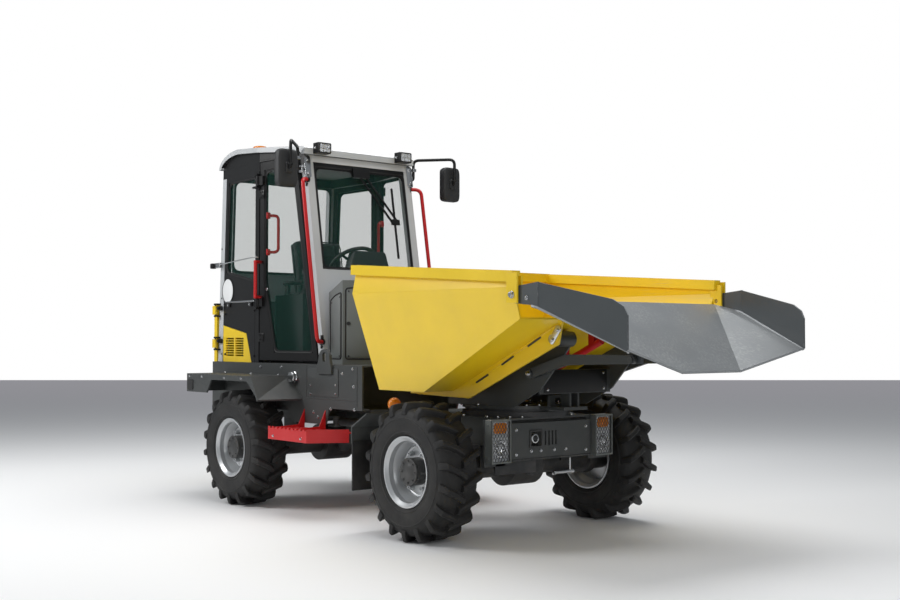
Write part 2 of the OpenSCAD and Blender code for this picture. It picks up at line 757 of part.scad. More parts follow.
// Side view of the arch, drawn in by g
function roof_arch(g) = concat([[roof_front - g, roof_z],
  [roof_front - g, roof_z + roof_front_h - roof_nose - g],
  [roof_front - roof_nose - g, roof_z + roof_front_h - g]], [for (i = [roof_steps : -1 : 0])
  let (a = 90 * i / roof_steps) [roof_rear + g + (roof_rear_l - g) * (1 - cos(a)),
    roof_z + (roof_crown_h - g) * sin(a)]]);
module roof_body(g) {
  plate_xz(roof_arch(g), -cab_mid_y - roof_over, 2 * (cab_mid_y + roof_over));
}
module cab_roof() {
  color("#b9bdbf") translate([beacon_x, beacon_y, roof_z + roof_front_h])
    cylinder(r = beacon_pad_r, h = beacon_pad_z - roof_z - roof_front_h);
  color("#b9bdbf") intersection() {
    difference() {
      roof_body(0);
      roof_body(roof_skin);
    }
    plate_xy([[roof_front, -cab_front_y - roof_over], [roof_front, cab_front_y + roof_over],
      [door_hinge_x, cab_mid_y + roof_over], [roof_rear, cab_rear_y + roof_over],
      [roof_rear, -cab_rear_y - roof_over], [door_hinge_x, -cab_mid_y - roof_over]],
      roof_z, 2 * roof_crown_h);
  }
  color("#1f2122") intersection() {
    roof_body(roof_skin / 2);
    plate_xy(cab_outline, roof_z, 2 * roof_crown_h);
  }
}

// Engine side covers under the rear windows, each with a slotted grille of slanted outline
grille_top = 1330;
grille_front_in = 55;
grille_slant = 90;
grille_drop = 66;
cover_rear = side_rear(engine_cover_top);
cover_front = side_front() - side_post - cover_gap;
// Outline of the grille, or of the pocket that leaves a gap g around it
function grille_outline(g) = [[cover_rear - g, deck_z - g], [cover_front - grille_front_in + g, deck_z - g],
  [cover_front - grille_front_in - grille_slant + g, grille_top - grille_drop + g],
  [cover_rear - g, grille_top + g]];
module engine_side_covers() {
  color("#1f2122") both_sides() rear_plane() difference() {
    plate_xz([[cover_rear, deck_z], [cover_front, deck_z], [cover_front, engine_cover_top - cover_gap],
      [cover_rear, engine_cover_top - cover_gap]], -wall_t, wall_t);
    plate_xz(grille_outline(cover_gap), -wall_t - over, wall_t + 2 * over);
  }
}
grille_rows = 8;
grille_cols = 2;
grille_margin = 46;
grille_slot_h = 12;
grille_rib = 24;
module side_grilles() {
  slot_w = (cover_front - cover_rear - grille_front_in - grille_slant - 2 * grille_margin
    - (grille_cols - 1) * grille_rib) / grille_cols;
  pitch = (grille_top - grille_drop - deck_z - 2 * grille_margin) / (grille_rows - 1);
  color("#e0a51c") both_sides() rear_plane() difference() {
    plate_xz(grille_outline(0), -wall_t / 2, wall_t / 2);
    for (i = [0 : grille_cols - 1], j = [0 : grille_rows - 1]) {
      u = cover_rear + grille_margin + i * (slot_w + grille_rib);
      z = deck_z + grille_margin + j * pitch;
      box([u, -wall_t, z], [u + slot_w, over, z + grille_slot_h]);
    }
  }
}

// Rear hood: a yellow shell hinged on its right edge
hood_y = 540;
hood_low = 700;
hood_high = 1500;
hood_t = 28;
hood_r = 34;
hood_front_x = cab_rear_x - cover_gap;
hood_axis_in = 2;
hood_axis_x = cab_rear_x + hood_axis_in;
hood_axis_out = 16;
hood_hinge_zs = [1150, 1420];
// The hood's body less a wall; its inside runs out below and in front
module hood_solid(wall, run) {
  r = hood_r - wall;
  rear = hood_rear_x + wall;
  y = hood_y - wall;
  low = hood_low - run;
  high = hood_high - wall;
  box([rear, -y + r, low], [hood_front_x + run, y - r, high]);
  box([rear + r, -y, low], [hood_front_x + run, y, high]);
  for (s = [-1, 1]) translate([rear + r, s * (y - r), low]) cylinder(r = r, h = high - low);
}
module rear_hood() {
  axis_y = -hood_y - hood_axis_out;
  color("#e0a51c") {
    difference() {
      hood_solid(0, 0);
      hood_solid(hood_t, over);
    }
    for (z = hood_hinge_zs) difference() {
      union() {
        translate([hood_axis_x, axis_y, z]) cylinder(r = hinge_r, h = hinge_h);
        box([hood_rear_x + hood_r, axis_y - hinge_r / 2, z],
          [hood_axis_x, axis_y + hinge_r / 2, z + hinge_h]);
        box([hood_rear_x + hood_r, axis_y - hinge_r / 2, z], [hood_front_x, -hood_y + over, z + hinge_h]);
      }
      translate([hood_axis_x, axis_y, z - over]) cylinder(r = hinge_r / 2 + play, h = hinge_h + 2 * over);
    }
  }
}
module hood_hinge_pins() {
  axis_y = -hood_y - hood_axis_out;
  for (z = hood_hinge_zs) {
    translate([hood_axis_x, axis_y, z - hinge_r]) cylinder(r = hinge_r / 2, h = hinge_h + 2 * hinge_r);
    for (b = [z - hinge_r - clear, z + hinge_h + clear]) {
      box([hood_axis_x + hinge_near, axis_y - hinge_r, b],
        [hood_axis_x + pillar_d / 2, -cab_rear_y, b + hinge_r]);
      box([hood_axis_x - hinge_r / 2, axis_y - hinge_r, b],
        [hood_axis_x + hinge_near, axis_y + hinge_r / 2, b + hinge_r]);
    }
  }
}

// Inside of the cab: engine bulkhead behind the seat, seat box, side console and dash
bulkhead_x = -2360;
console_top = 1560;
seat_box_top = 1400;
seat_box_y = 260;
seat_box_front_x = -1960;
dash_x = -1640;
dash_depth = 150;
dash_y = 200;
dash_top = 1700;
arm_y = 330;
arm_w = 110;
stick_r = 16;
stick_h = 170;
stick_ball_r = 28;
stick_x = -2010;
mat_t = 10;
mat_front_x = -1585;
module cab_interior() {
  color("#2a2c2e") {
    box([bulkhead_x, -cab_front_y + pillar_w, deck_z],
      [mat_front_x, cab_front_y - pillar_w, deck_z + mat_t]);
    box([bulkhead_x, -seat_box_y, deck_z + mat_t], [seat_box_front_x, seat_box_y, seat_box_top]);
    box([engine_rear_x, -cab_rear_y + pillar_d, engine_top],
      [bulkhead_x, cab_rear_y - pillar_d, engine_cover_top]);
    box([engine_front_x + clear, -cab_rear_y + pillar_d, deck_z],
      [bulkhead_x, cab_rear_y - pillar_d, engine_top]);
    box([bulkhead_x, -arm_y - arm_w / 2, deck_z + mat_t],
      [seat_box_front_x, -arm_y + arm_w / 2, console_top]);
    translate([stick_x, -arm_y, console_top]) cylinder(r = stick_r, h = stick_h);
    translate([stick_x, -arm_y, console_top + stick_h]) sphere(r = stick_ball_r);
    plate_xz([[dash_x, deck_z + mat_t], [dash_x - dash_depth / 2, deck_z + mat_t],
      [dash_x - dash_depth, dash_top - dash_depth / 2], [dash_x - dash_depth, dash_top],
      [dash_x - dash_depth / 2, dash_top]], -dash_y, 2 * dash_y);
  }
}

// Seat: cushion and backrest on a plinth
seat_w = 480;
seat_l = 470;
seat_h = 110;
seat_back_gap = 10;
seat_rear_x = bulkhead_x + seat_back_gap;
seat_plinth_h = 30;
seat_plinth_in = 60;
back_t = 120;
back_h = 470;
back_lean = 90;
module seat() {
  low = seat_box_top;
  top = low + seat_plinth_h + seat_h;
  color("#26282a") {
    box([seat_rear_x + seat_plinth_in, -seat_w / 2 + seat_plinth_in, low],
      [seat_rear_x + seat_l - seat_plinth_in, seat_w / 2 - seat_plinth_in, low + seat_plinth_h]);
    box([seat_rear_x, -seat_w / 2, low + seat_plinth_h], [seat_rear_x + seat_l, seat_w / 2, top]);
    plate_xz([[seat_rear_x, top], [seat_rear_x + back_t, top],
      [seat_rear_x + back_t - back_lean, top + back_h],
      [seat_rear_x - back_lean, top + back_h]], -seat_w / 2, seat_w);
  }
}

// Steering column with its wheel
column_d = 60;
column_share = 0.75;
column_back = 60;
column_rise = 42;
column_reach = 36;
column_lift = 50;
column_foot = [dash_x - dash_depth * column_share, 0, dash_top];
column_knee = column_foot + [-column_back, 0, column_rise];
column_head = column_knee + [-column_reach, 0, column_lift];
wheel_ring_r = 175;
wheel_ring_d = 30;
wheel_hub_r = 45;
wheel_hub_h = 40;
spoke_d = 22;
module steering_wheel() {
  color("#26282a") {
    bent_rod([column_foot, column_foot + [0, 0, column_rise], column_knee, column_head], column_d);
    along(column_head, column_head + (column_head - column_knee)) {
      cylinder(r = wheel_hub_r, h = wheel_hub_h);
      translate([0, 0, wheel_hub_h / 2]) {
        rotate_extrude() translate([wheel_ring_r, 0]) circle(d = wheel_ring_d);
        for (i = [0 : 2]) rotate([0, 0, i * 120]) rotate([0, 90, 0]) cylinder(d = spoke_d, h = wheel_ring_r);
      }
    }
  }
}

// Grey housing on the deck ahead of the cab, tapered in plan to let the skip swing past
housing_y = 450;
housing_nose_x = -1100;
housing_nose_y = 235;
housing_rear_x = -1505;
housing_wide_x = -1330;
housing_top = 1640;
housing_edge_z = 1555;
module front_housing() {
  color("#6a6e6c") intersection() {
    plate_xy([[housing_rear_x, -housing_y], [housing_wide_x, -housing_y], [housing_nose_x, -housing_nose_y],
      [housing_nose_x, housing_nose_y], [housing_wide_x, housing_y], [housing_rear_x, housing_y]],
      deck_z, housing_top - deck_z);
    plate_xz([[housing_rear_x, deck_z], [housing_nose_x, deck_z], [housing_nose_x, housing_top - clear],
      [housing_wide_x, housing_top], [housing_rear_x, housing_edge_z]], -housing_y, 2 * housing_y);
  }
}

// Work lights at the roof's front corners
light_w = 110;
light_h = 85;
light_t = 70;
light_y = 375;
module work_lights() {
  x = front_x(roof_z) + roof_over;
  color("#c9ccce") both_sides() {
    box([x, light_y - light_w / 2, roof_z + clear], [x + light_t, light_y + light_w / 2, roof_z + light_h]);
  }
}

// Amber beacon on a pad of the roof
beacon_x = -2700;
beacon_y = -330;
beacon_r = 48;
beacon_h = 58;
beacon_base_r = 56;
beacon_base_h = 14;
beacon_pad_r = 66;
beacon_pad_z = roof_z + roof_crown_h;
module beacon() {
  color("#e08a1c") translate([beacon_x, beacon_y, beacon_pad_z]) {
    cylinder(r = beacon_base_r, h = beacon_base_h);
    cylinder(r1 = beacon_r, r2 = beacon_r - beacon_base_h, h = beacon_h);
  }
}

// Mirrors with round corners on bent arms at the front pillars' tops
mirror_w = 165;
mirror_r = 40;
mirror_h = 275;
mirror_t = 70;
mirror_x = -1635;
mirror_in_y = 672;
mirror_low = 2306;
mirror_arm_d = 24;
mirror_root_z = 2480;
mirror_top_z = 2640;
mirror_arm_out = 58;
mirror_arm_gap = 22;
module mirror_head() {
  for (y = [mirror_r, mirror_w - mirror_r], z = [mirror_r, mirror_h - mirror_r])
    cyl_x(mirror_in_y + y, mirror_low + z, mirror_r, mirror_x, mirror_t);
  box([mirror_x, mirror_in_y, mirror_low + mirror_r],
    [mirror_x + mirror_t, mirror_in_y + mirror_w, mirror_low + mirror_h - mirror_r]);
  box([mirror_x, mirror_in_y + mirror_r, mirror_low],
    [mirror_x + mirror_t, mirror_in_y + mirror_w - mirror_r, mirror_low + mirror_h]);
}
module mirrors() {
  root_x = front_x(mirror_root_z) - pillar_d / 2;
  root_y = cab_front_y + mirror_arm_out;
  mid_y = mirror_in_y + mirror_w / 2;
  mid_z = mirror_low + mirror_h / 2;
  arm_x = mirror_x + mirror_t + mirror_arm_gap;
  color("#1f2122") both_sides() {
    mirror_head();
    difference() {
      bent_rod([[root_x, cab_front_y - mirror_arm_d, mirror_root_z], [root_x, root_y, mirror_root_z],
        [root_x, root_y, mirror_top_z], [arm_x, mid_y, mirror_top_z], [arm_x, mid_y, mid_z],
        [mirror_x + mirror_t / 2, mid_y, mid_z]], mirror_arm_d);
      front_pillar();
    }
  }
}

// Red handrails in front of the front pillars
hand_d = 28;
hand_top_z = 2400;
hand_low_z = 1200;
hand_out = 35;
hand_in = 99;
module handrails() {
  y = cab_front_y - pillar_w / 2;
  color("#b02a22") both_sides() difference() {
    bent_rod([[front_x(hand_top_z) - hand_d, y, hand_top_z],
      [front_x(hand_top_z) + hand_out, y + hand_in, hand_top_z],
      [front_x(hand_low_z) + hand_out, y + hand_in, hand_low_z],
      [front_x(hand_low_z) - hand_d, y, hand_low_z]], hand_d);
    front_pillar();
  }
}

// Wiper: a pivot box under the header and a double arm with its blade on the glass
wiper_t = 10;
wiper_w = 14;
wiper_arm_l = 470;
wiper_blade_l = 560;
wiper_turn = 38;
wiper_gap = 45;
wiper_box_w = 150;
wiper_box_h = 70;
wiper_box_t = 30;
module wiper() {
  lean = atan(cab_lean);
  z = roof_z - header_h - wiper_box_h / 2;
  color("#1f2122") translate([front_x(z) - glass_in + seat_gap, 0, z]) rotate([0, -lean, 0]) {
    box([0, -wiper_box_w / 2, -wiper_box_h / 2], [wiper_box_t, wiper_box_w / 2, wiper_box_h / 2]);
    rotate([wiper_turn, 0, 0]) {
      for (s = [-1, 1]) box([wiper_t, s * wiper_gap / 2 - wiper_w / 2, -wiper_arm_l],
        [2 * wiper_t, s * wiper_gap / 2 + wiper_w / 2, 0]);
    }
    translate([0, sin(wiper_turn) * wiper_arm_l, -cos(wiper_turn) * wiper_arm_l]) {
      box([0, -wiper_w / 2, -wiper_blade_l / 2], [wiper_t + over, wiper_w / 2, wiper_blade_l / 2]);
      box([wiper_t / 2, -wiper_gap / 2 - wiper_w, -wiper_w],
        [2 * wiper_t + over, wiper_gap / 2 + wiper_w, 2 * wiper_w]);
    }
  }
}

// Front frame: two beams with a top plate, the pivot's bearing tube at the rear and a bumper in front
front_y = 360;
front_rear_x = -720;
front_front_x = 318;
front_top_z = 735;
front_bottom_z = 560;
front_plate_low = 480;
bearing_r = 82;
bearing_z = 580;
bearing_in = 40;
hub_block_r = 76;
bumper_y = 345;
bumper_low = 475;
bumper_high = 705;
bumper_t = 16;
bumper_hole_y = 90;
bumper_hole_z = 560;
bumper_hole = 90;
vent_y = -60;
vent_w = 14;
vent_pitch = 30;
vent_count = 4;
lamp_wing_x = 288;
lamp_wing_low = 450;
lamp_wing_y = 528;
arm_x = -556;
arm_t = 16;
arm_low = 600;
arm_high = 700;
module front_chassis() {
  color("#4b4f4f") {
    difference() {
      union() {
        both_sides() box([front_rear_x, rail_in, front_bottom_z], [front_front_x, front_y, front_top_z]);
        box([front_rear_x, -front_y, front_top_z - plate_t], [front_front_x, front_y, front_top_z]);
        box([front_rear_x, -front_y, front_plate_low], [front_rear_x + 2 * plate_t, front_y, front_top_z]);
        cyl_x(0, bearing_z, bearing_r, pivot_x + bearing_in, front_rear_x - pivot_x - bearing_in);
        translate([pivot_x, 0, yoke_low + yoke_t + clear])
          cylinder(r = hub_block_r, h = yoke_high - yoke_low - yoke_t - 2 * clear);
      }
      translate([pivot_x, 0, yoke_low]) cylinder(r = pivot_r + play, h = yoke_high - yoke_low + yoke_t);
    }
    steer_ears(front_rear_x, steer_eye_x, steer_eye_y, false);
    difference() {
      box([front_front_x, -bumper_y, bumper_low], [front_front_x + bumper_t, bumper_y, bumper_high]);
      box([front_front_x - over, -bumper_hole_y - bumper_hole, bumper_hole_z],
        [front_front_x + bumper_t + over, -bumper_hole_y, bumper_hole_z + bumper_hole]);
      for (i = [0 : vent_count - 1])
        box([front_front_x - over, vent_y + i * vent_pitch, bumper_hole_z],
          [front_front_x + bumper_t + over, vent_y + i * vent_pitch + vent_w, bumper_hole_z + bumper_hole]);
    }
    both_sides() {
      box([lamp_wing_x, front_y, lamp_wing_low], [lamp_wing_x + plate_t, lamp_wing_y, front_top_z]);
      box([arm_x, front_y, arm_low], [arm_x + arm_t, guard_in_y, arm_high]);
    }
  }
}

// Head lamps behind mesh guards
lamp_y = 443;
lamp_w = 136;
lamp_z = 603;
lamp_h = 262;
lamp_t = 50;
module headlamps() {
  x = lamp_wing_x + plate_t;
  color("#c9ccce") both_sides()
    box([x, lamp_y - lamp_w / 2, lamp_z - lamp_h / 2],
      [x + lamp_t, lamp_y + lamp_w / 2, lamp_z + lamp_h / 2]);
}
guard_gap = 6;
guard_t = 6;
guard_edge = 10;
guard_cell = 30;
guard_bar = 4;
guard_hole = (guard_cell - guard_bar) / sqrt(2);
module lamp_guards() {
  x = lamp_wing_x + plate_t;
  in_y = lamp_y - lamp_w / 2 - guard_gap;
  out_y = lamp_y + lamp_w / 2 + guard_gap;
  low = lamp_z - lamp_h / 2;
  high = lamp_z + lamp_h / 2;
  front = x + lamp_t + guard_gap;
  cols = floor((out_y - in_y - 2 * guard_edge) / guard_cell);
  rows = floor((high - low - 2 * guard_edge) / guard_cell);
  color("#1f2122") both_sides() {
    box([x, in_y - guard_t, low], [front + guard_t, in_y, high]);
    box([x, out_y, low], [front + guard_t, out_y + guard_t, high]);
    difference() {
      box([front, in_y, low], [front + guard_t, out_y, high]);
      for (i = [0 : cols - 1], j = [0 : rows - 1])
        translate([front - over, in_y + guard_edge + (i + 1 / 2) * (out_y - in_y - 2 * guard_edge) / cols,
          low + guard_edge + (j + 1 / 2) * (high - low - 2 * guard_edge) / rows])
          rotate([45, 0, 0]) translate([0, -guard_hole / 2, -guard_hole / 2])
          cube([guard_t + 2 * over, guard_hole, guard_hole]);
    }
  }
}

// Mudguards behind the front wheels with rubber flaps, and the marker lamps on their arms
guard_in_y = 600;
guard_out_y = 905;
guard_plate_t = 8;
guard_low = 560;
guard_bend = 660;
guard_top_x = -390;
guard_top_z = 757;
flap_low = 260;
flap_over = 14;
flap_in = 24;
module mudguards() {
  color("#4b4f4f") both_sides() plate_xz([[arm_x, guard_low], [arm_x + guard_plate_t, guard_low],
    [arm_x + guard_plate_t, guard_bend], [guard_top_x, guard_top_z - guard_plate_t],
    [guard_top_x, guard_top_z],
    [arm_x, guard_bend + guard_plate_t]], guard_in_y, guard_out_y - guard_in_y);
}
module mud_flaps() {
  color("#1c1c1c") both_sides() box([arm_x + guard_plate_t, guard_in_y + flap_in, flap_low],
    [arm_x + 2 * guard_plate_t, guard_out_y, guard_low + flap_over]);
}
marker_y = 570;
marker_stalk_r = 14;
marker_z = 795;
marker_r = 44;
module marker_lamps() {
  color("#e07a1c") both_sides() translate([arm_x + arm_t / 2, marker_y, 0]) {
    translate([0, 0, arm_high]) cylinder(r = marker_stalk_r, h = marker_z - arm_high);
    translate([0, 0, marker_z]) sphere(r = marker_r);
  }
}

// Slewing ring between the front frame and the skip's console
ring_r = 345;
ring_in = 250;
ring_h = 50;
ring_step = 18;
module slew_ring() {
  color("#55595a") translate([0, 0, front_top_z]) difference() {
    union() {
      cylinder(r = ring_r, h = ring_h - ring_step);
      cylinder(r = ring_r - ring_step, h = ring_h);
    }
    translate([0, 0, -over]) cylinder(r = ring_in, h = ring_h + 2 * over);
  }
}

// Console: turns on the slewing ring and carries the skip's tipping axis
base_t = 20;
base_z = front_top_z + ring_h + seat_gap;
base_top = base_z + base_t;
tip_x = 810;
tip_pin_r = 25;
tip_tube_r = 45;
tip_tube_in = 300;
tip_tube_out = 444;
web_y = 303;
web_t = 12;
web_rear_x = -300;
web_front_x = 330;
web_knee_x = 560;
web_knee_z = 915;
web_gap = 16;
bowl_low = 893;
bowl_turn_x = -80;
lip_back_x = 916;
lip_z = 1330;
ramp_rise = (lip_z - bowl_low) / (lip_back_x - bowl_turn_x);
function ramp_z(x) = bowl_low + ramp_rise * (x - bowl_turn_x);
web_top_x = 770;
cross_x = 535;
cross_low = 890;
cross_high = 1035;
slot_x = 400;
slot_y = 100;
slot_low = 775;
slot_high = 872;
slot_w = 90;
slot_h = 40;
link_x = 511;
link_z = 1015;
link_pin_r = 16;
link_y = 326;
link_t = 28;
link_head_r = 24;
link_head_h = 10;
cyl_base_x = 490;
cyl_base_z = 930;
cyl_pin_r = 16;
cyl_eye_half = 24;
cyl_ear_t = 14;
cyl_ear_gap = 3;
cyl_ear_r = 34;
module swivel_console() {
  color("#3f4343") difference() {
    union() {
      difference() {
        translate([0, 0, base_z]) cylinder(r = ring_r, h = base_t);
        translate([0, 0, base_z - over]) cylinder(r = ring_in / 2, h = base_t + 2 * over);
      }
      both_sides() {
        plate_xz([[web_rear_x, base_top - over], [web_front_x, base_top - over], [web_knee_x, web_knee_z],
          [tip_x, tip_z - tip_tube_r], [tip_x, tip_z + tip_tube_r - clear],
          [web_top_x, ramp_z(web_top_x) - web_gap],
          [bowl_turn_x, bowl_low - web_gap], [web_rear_x, bowl_low - web_gap]], web_y, web_t);
        cyl_y(tip_x, tip_z, tip_tube_r, tip_tube_in, tip_tube_out - tip_tube_in);
        cyl_y(link_x, link_z, link_pin_r, web_y, link_y + link_t + link_head_h - web_y);
        cyl_y(link_x, link_z, link_head_r, link_y + link_t + seat_gap, link_head_h);
      }
      box([cross_x, -web_y, cross_low], [cross_x + web_t, web_y, cross_high]);
      difference() {
        box([slot_x, -slot_y, slot_low], [slot_x + web_t, slot_y, slot_high]);
        box([slot_x - over, -slot_w / 2, slot_low + slot_h],
          [slot_x + web_t + over, slot_w / 2, slot_low + 2 * slot_h]);
      }
      box([ring_in, -slot_y, base_z], [cross_x + web_t, slot_y, base_top]);
      for (s = [-1, 1]) plate_xz([[cyl_base_x - cyl_ear_r, base_top - over], [cross_x, base_top - over],
        [cross_x, cross_high],
        [cyl_base_x - cyl_ear_r, cross_low + cyl_ear_r]],
        s * (cyl_eye_half + cyl_ear_gap + cyl_ear_t / 2) - cyl_ear_t / 2, cyl_ear_t);
      cyl_y(cyl_base_x, cyl_base_z, cyl_pin_r, -cyl_eye_half - cyl_ear_gap - cyl_ear_t,
        2 * (cyl_eye_half + cyl_ear_gap + cyl_ear_t));
    }
    both_sides() cyl_y(tip_x, tip_z, tip_pin_r + play, tip_tube_in - web_t,
      tip_tube_out - tip_tube_in + 2 * web_t);
  }
}

// Tipping cylinder: base pin on the console, rod's eye under the skip
cyl_eye_x = -125;
cyl_eye_z = 852;
cyl_eye_r = 29;
cyl_tube_r = 33;
cyl_tube_start = 58;
cyl_tube_end = 540;
cyl_rod_r = 20;
cyl_rod_l = 540;
cyl_gland_l = 36;
cyl_gland_r = 37;
cyl_len = norm([cyl_eye_x - cyl_base_x, cyl_eye_z - cyl_base_z]);
cyl_turn = atan2(cyl_base_z - cyl_eye_z, cyl_base_x - cyl_eye_x);
module cyl_place() {
  translate([cyl_base_x, 0, cyl_base_z]) rotate([0, -cyl_turn, 0]) mirror([1, 0, 0]) children();
}
module tip_barrel() {
  color("#2f3234") cyl_place() difference() {
    union() {
      cyl_y(0, 0, cyl_eye_r, -cyl_eye_half, 2 * cyl_eye_half);
      cyl_x(0, 0, cyl_eye_half - cyl_ear_gap, 0, cyl_tube_start);
      cyl_x(0, 0, cyl_tube_r, cyl_tube_start, cyl_tube_end - cyl_tube_start);
      cyl_x(0, 0, cyl_gland_r, cyl_tube_end - cyl_gland_l, cyl_gland_l);
    }
    cyl_y(0, 0, cyl_pin_r + play, -cyl_eye_half - over, 2 * (cyl_eye_half + over));
    cyl_x(0, 0, cyl_rod_r + play, cyl_tube_start + cyl_ear_t, cyl_tube_end);
  }
}
module tip_rod() {
  color("#c9ccce") cyl_place() {
    cyl_x(0, 0, cyl_rod_r, cyl_len - cyl_rod_l, cyl_rod_l);
    cyl_y(cyl_len, 0, cyl_eye_r, -cyl_eye_half, 2 * cyl_eye_half);
  }
}

// Skip: one welded bowl of flat sheets with a rail round its top, open at the front
bowl_rear_x = -550;
bowl_low_y = 690;
lip_y = 800;
kink_z = 1512;
kink_front_z = 1505;
kink_rear_x = -612;
kink_front_x = 930;
top_rear_in = 22;
top_rear_x = kink_rear_x + top_rear_in;
top_front_x = top_rear_x + skip_l;
top_in = 22;
mouth = 80;
function bowl_right() = [
  [bowl_rear_x, -bowl_low_y, bowl_low], [bowl_turn_x, -bowl_low_y, bowl_low], [lip_back_x, -lip_y, lip_z],
  [kink_front_x, -skip_y, kink_front_z], [top_front_x, -skip_y + top_in / 4, skip_front_z],
  [top_rear_x, -skip_y + top_in, skip_rear_z], [kink_rear_x, -skip_y, kink_z]];
function bowl_cavity() = [
  [bowl_rear_x + skip_wall, -bowl_low_y + skip_wall, bowl_low + skip_wall],
  [bowl_turn_x - skip_wall * ramp_rise / 2, -bowl_low_y + skip_wall, bowl_low + skip_wall],
  [lip_back_x + mouth, -lip_y + skip_wall - mouth * (lip_y - bowl_low_y) / (lip_back_x - bowl_turn_x),
    ramp_z(lip_back_x + mouth) + skip_wall / cos(atan(ramp_rise))],
  [kink_front_x + mouth, -skip_y + skip_wall, kink_front_z],
  [top_front_x + mouth, -skip_y + top_in / 4 + skip_wall, skip_front_z + mouth],
  [top_rear_x + skip_wall, -skip_y + top_in + skip_wall, skip_rear_z + mouth],
  [kink_rear_x + skip_wall, -skip_y + skip_wall, kink_z]];
// A closed body between a right hand row of seven points and its mirror image
module bowl(right) {
  n = len(right);
  left = [for (p = right) [p[0], -p[1], p[2]]];
  flank = [[0, 1, 6], [1, 3, 6], [1, 2, 3], [6, 3, 5], [3, 4, 5]];
  belt = [for (i = [0 : n - 1]) let (j = (i + 1) % n) [i, j, n + j, n + i]];
  polyhedron(concat(right, left), concat(belt, [for (f = flank) [f[2], f[1], f[0]]],
    [for (f = flank) [n + f[0], n + f[1], n + f[2]]]));
}
rail_w = 58;
rail_h = 62;
keel_y = 450;
keel_t = 12;
keel_rear_x = -515;
keel_rear_z = 866;
keel_turn_x = 85;
keel_turn_z = 856;
keel_front_x = 870;
keel_front_z = 1190;
keel_nose_x = 900;
hinge_x = 950;
hinge_z = 1460;
hinge_plate_y = 846;
hinge_plate_t = 12;
hinge_plate_rear_x = 905;
hinge_plate_front_x = 990;
hinge_plate_low = 1415;
hinge_bolt_r = 14;
wing_gap = 6;
wing_t = 10;
wing_y = hinge_plate_y + hinge_plate_t + wing_gap;
ear_y = wing_y + wing_t + wing_gap;
module skip_rail() {
  a = [top_rear_x - rail_w / 4, skip_y - top_in / 2, skip_rear_z - rail_h / 2];
  b = [top_front_x, skip_y, skip_front_z - rail_h / 2];
  along(a, b) translate([-rail_h / 2, -rail_w / 2, 0]) cube([rail_h, rail_w, norm(b - a)]);
}
module skip() {
  color("#e0a51c") difference() {
    union() {
      difference() {
        bowl(bowl_right());
        bowl(bowl_cavity());
      }
      both_sides() {
        skip_rail();
        plate_xz([[keel_rear_x, bowl_low + skip_wall / 2], [keel_rear_x, keel_rear_z],
          [keel_turn_x, keel_turn_z],
          [keel_front_x, keel_front_z], [keel_nose_x, ramp_z(keel_nose_x) - clear],
          [keel_nose_x - keel_t, ramp_z(keel_nose_x - keel_t) + skip_wall / 2],
          [bowl_turn_x, bowl_low + skip_wall / 2]], keel_y, keel_t);
        plate_xz([[hinge_plate_rear_x, hinge_plate_low], [hinge_plate_front_x, hinge_plate_low],
          [hinge_plate_front_x, skip_front_z - rail_h / 2], [hinge_plate_rear_x, skip_front_z - rail_h / 2]],
          hinge_plate_y, hinge_plate_t);
        plate_xz([[hinge_plate_rear_x, hinge_plate_low], [hinge_plate_front_x, hinge_plate_low],
          [hinge_plate_front_x, skip_front_z - hinge_plate_t],
          [hinge_plate_rear_x, skip_front_z - hinge_plate_t]],
          ear_y, hinge_plate_t);
        plate_xz([[cyl_eye_x - cyl_ear_r, bowl_low + skip_wall / 2],
          [cyl_eye_x - cyl_ear_r / 2, cyl_eye_z - cyl_eye_r],
          [cyl_eye_x + cyl_ear_r / 2, cyl_eye_z - cyl_eye_r],
          [cyl_eye_x + cyl_ear_r, bowl_low + skip_wall / 2]],
          cyl_eye_half + cyl_ear_gap, cyl_ear_t);
      }
      box([kink_rear_x - rail_w / 4, -skip_y + top_in / 2, skip_rear_z - rail_h],
        [top_rear_x + rail_w / 2, skip_y - top_in / 2, skip_rear_z]);
    }
    both_sides() {
      cyl_y(tip_x, tip_z, tip_pin_r, keel_y - over, keel_t + 2 * over);
      cyl_y(hinge_x, hinge_z, hinge_bolt_r, hinge_plate_y - over, hinge_plate_t + 2 * over);
      cyl_y(hinge_x, hinge_z, hinge_bolt_r, ear_y - over, hinge_plate_t + 2 * over);
    }
  }
}

// Pins of the tipping axis with their retaining plates, and the chute's hinge bolts
retainer_l = 120;
retainer_w = 46;
retainer_t = 8;
retainer_turn = 23;
bolt_head_r = 22;
bolt_head_h = 12;
module skip_pins() {
  color("#c9ccce") both_sides() {
    cyl_y(tip_x, tip_z, tip_pin_r, tip_tube_in + clear, keel_y + keel_t - tip_tube_in - clear);
    translate([tip_x, keel_y + keel_t, tip_z]) rotate([0, -retainer_turn, 0])
      translate([-retainer_l / 2, 0, -retainer_w / 2]) cube([retainer_l, retainer_t, retainer_w]);
    cyl_y(hinge_x, hinge_z, hinge_bolt_r, hinge_plate_y, ear_y + hinge_plate_t - hinge_plate_y);
    cyl_y(hinge_x, hinge_z, bolt_head_r, ear_y + hinge_plate_t, bolt_head_h);
  }
}

// Red safety prop clipped under the skip's ramp
prop_y = -110;
prop_d = 44;
prop_rear_x = 450;
prop_front_x = 870;
prop_drop = 100;
module safety_prop() {
  color("#b02a22") {
    rod([prop_rear_x, prop_y, ramp_z(prop_rear_x) - prop_drop],
      [prop_front_x, prop_y, ramp_z(prop_front_x) - prop_drop], prop_d);
    for (x = [prop_rear_x + 2 * prop_d, prop_front_x - 2 * prop_d])
      plate_xz([[x, ramp_z(x) - prop_drop], [x + prop_d, ramp_z(x + prop_d) - prop_drop],
        [x + prop_d, ramp_z(x + prop_d) - seat_gap], [x, ramp_z(x) - seat_gap]], prop_y - prop_d / 2, prop_d);
  }
}

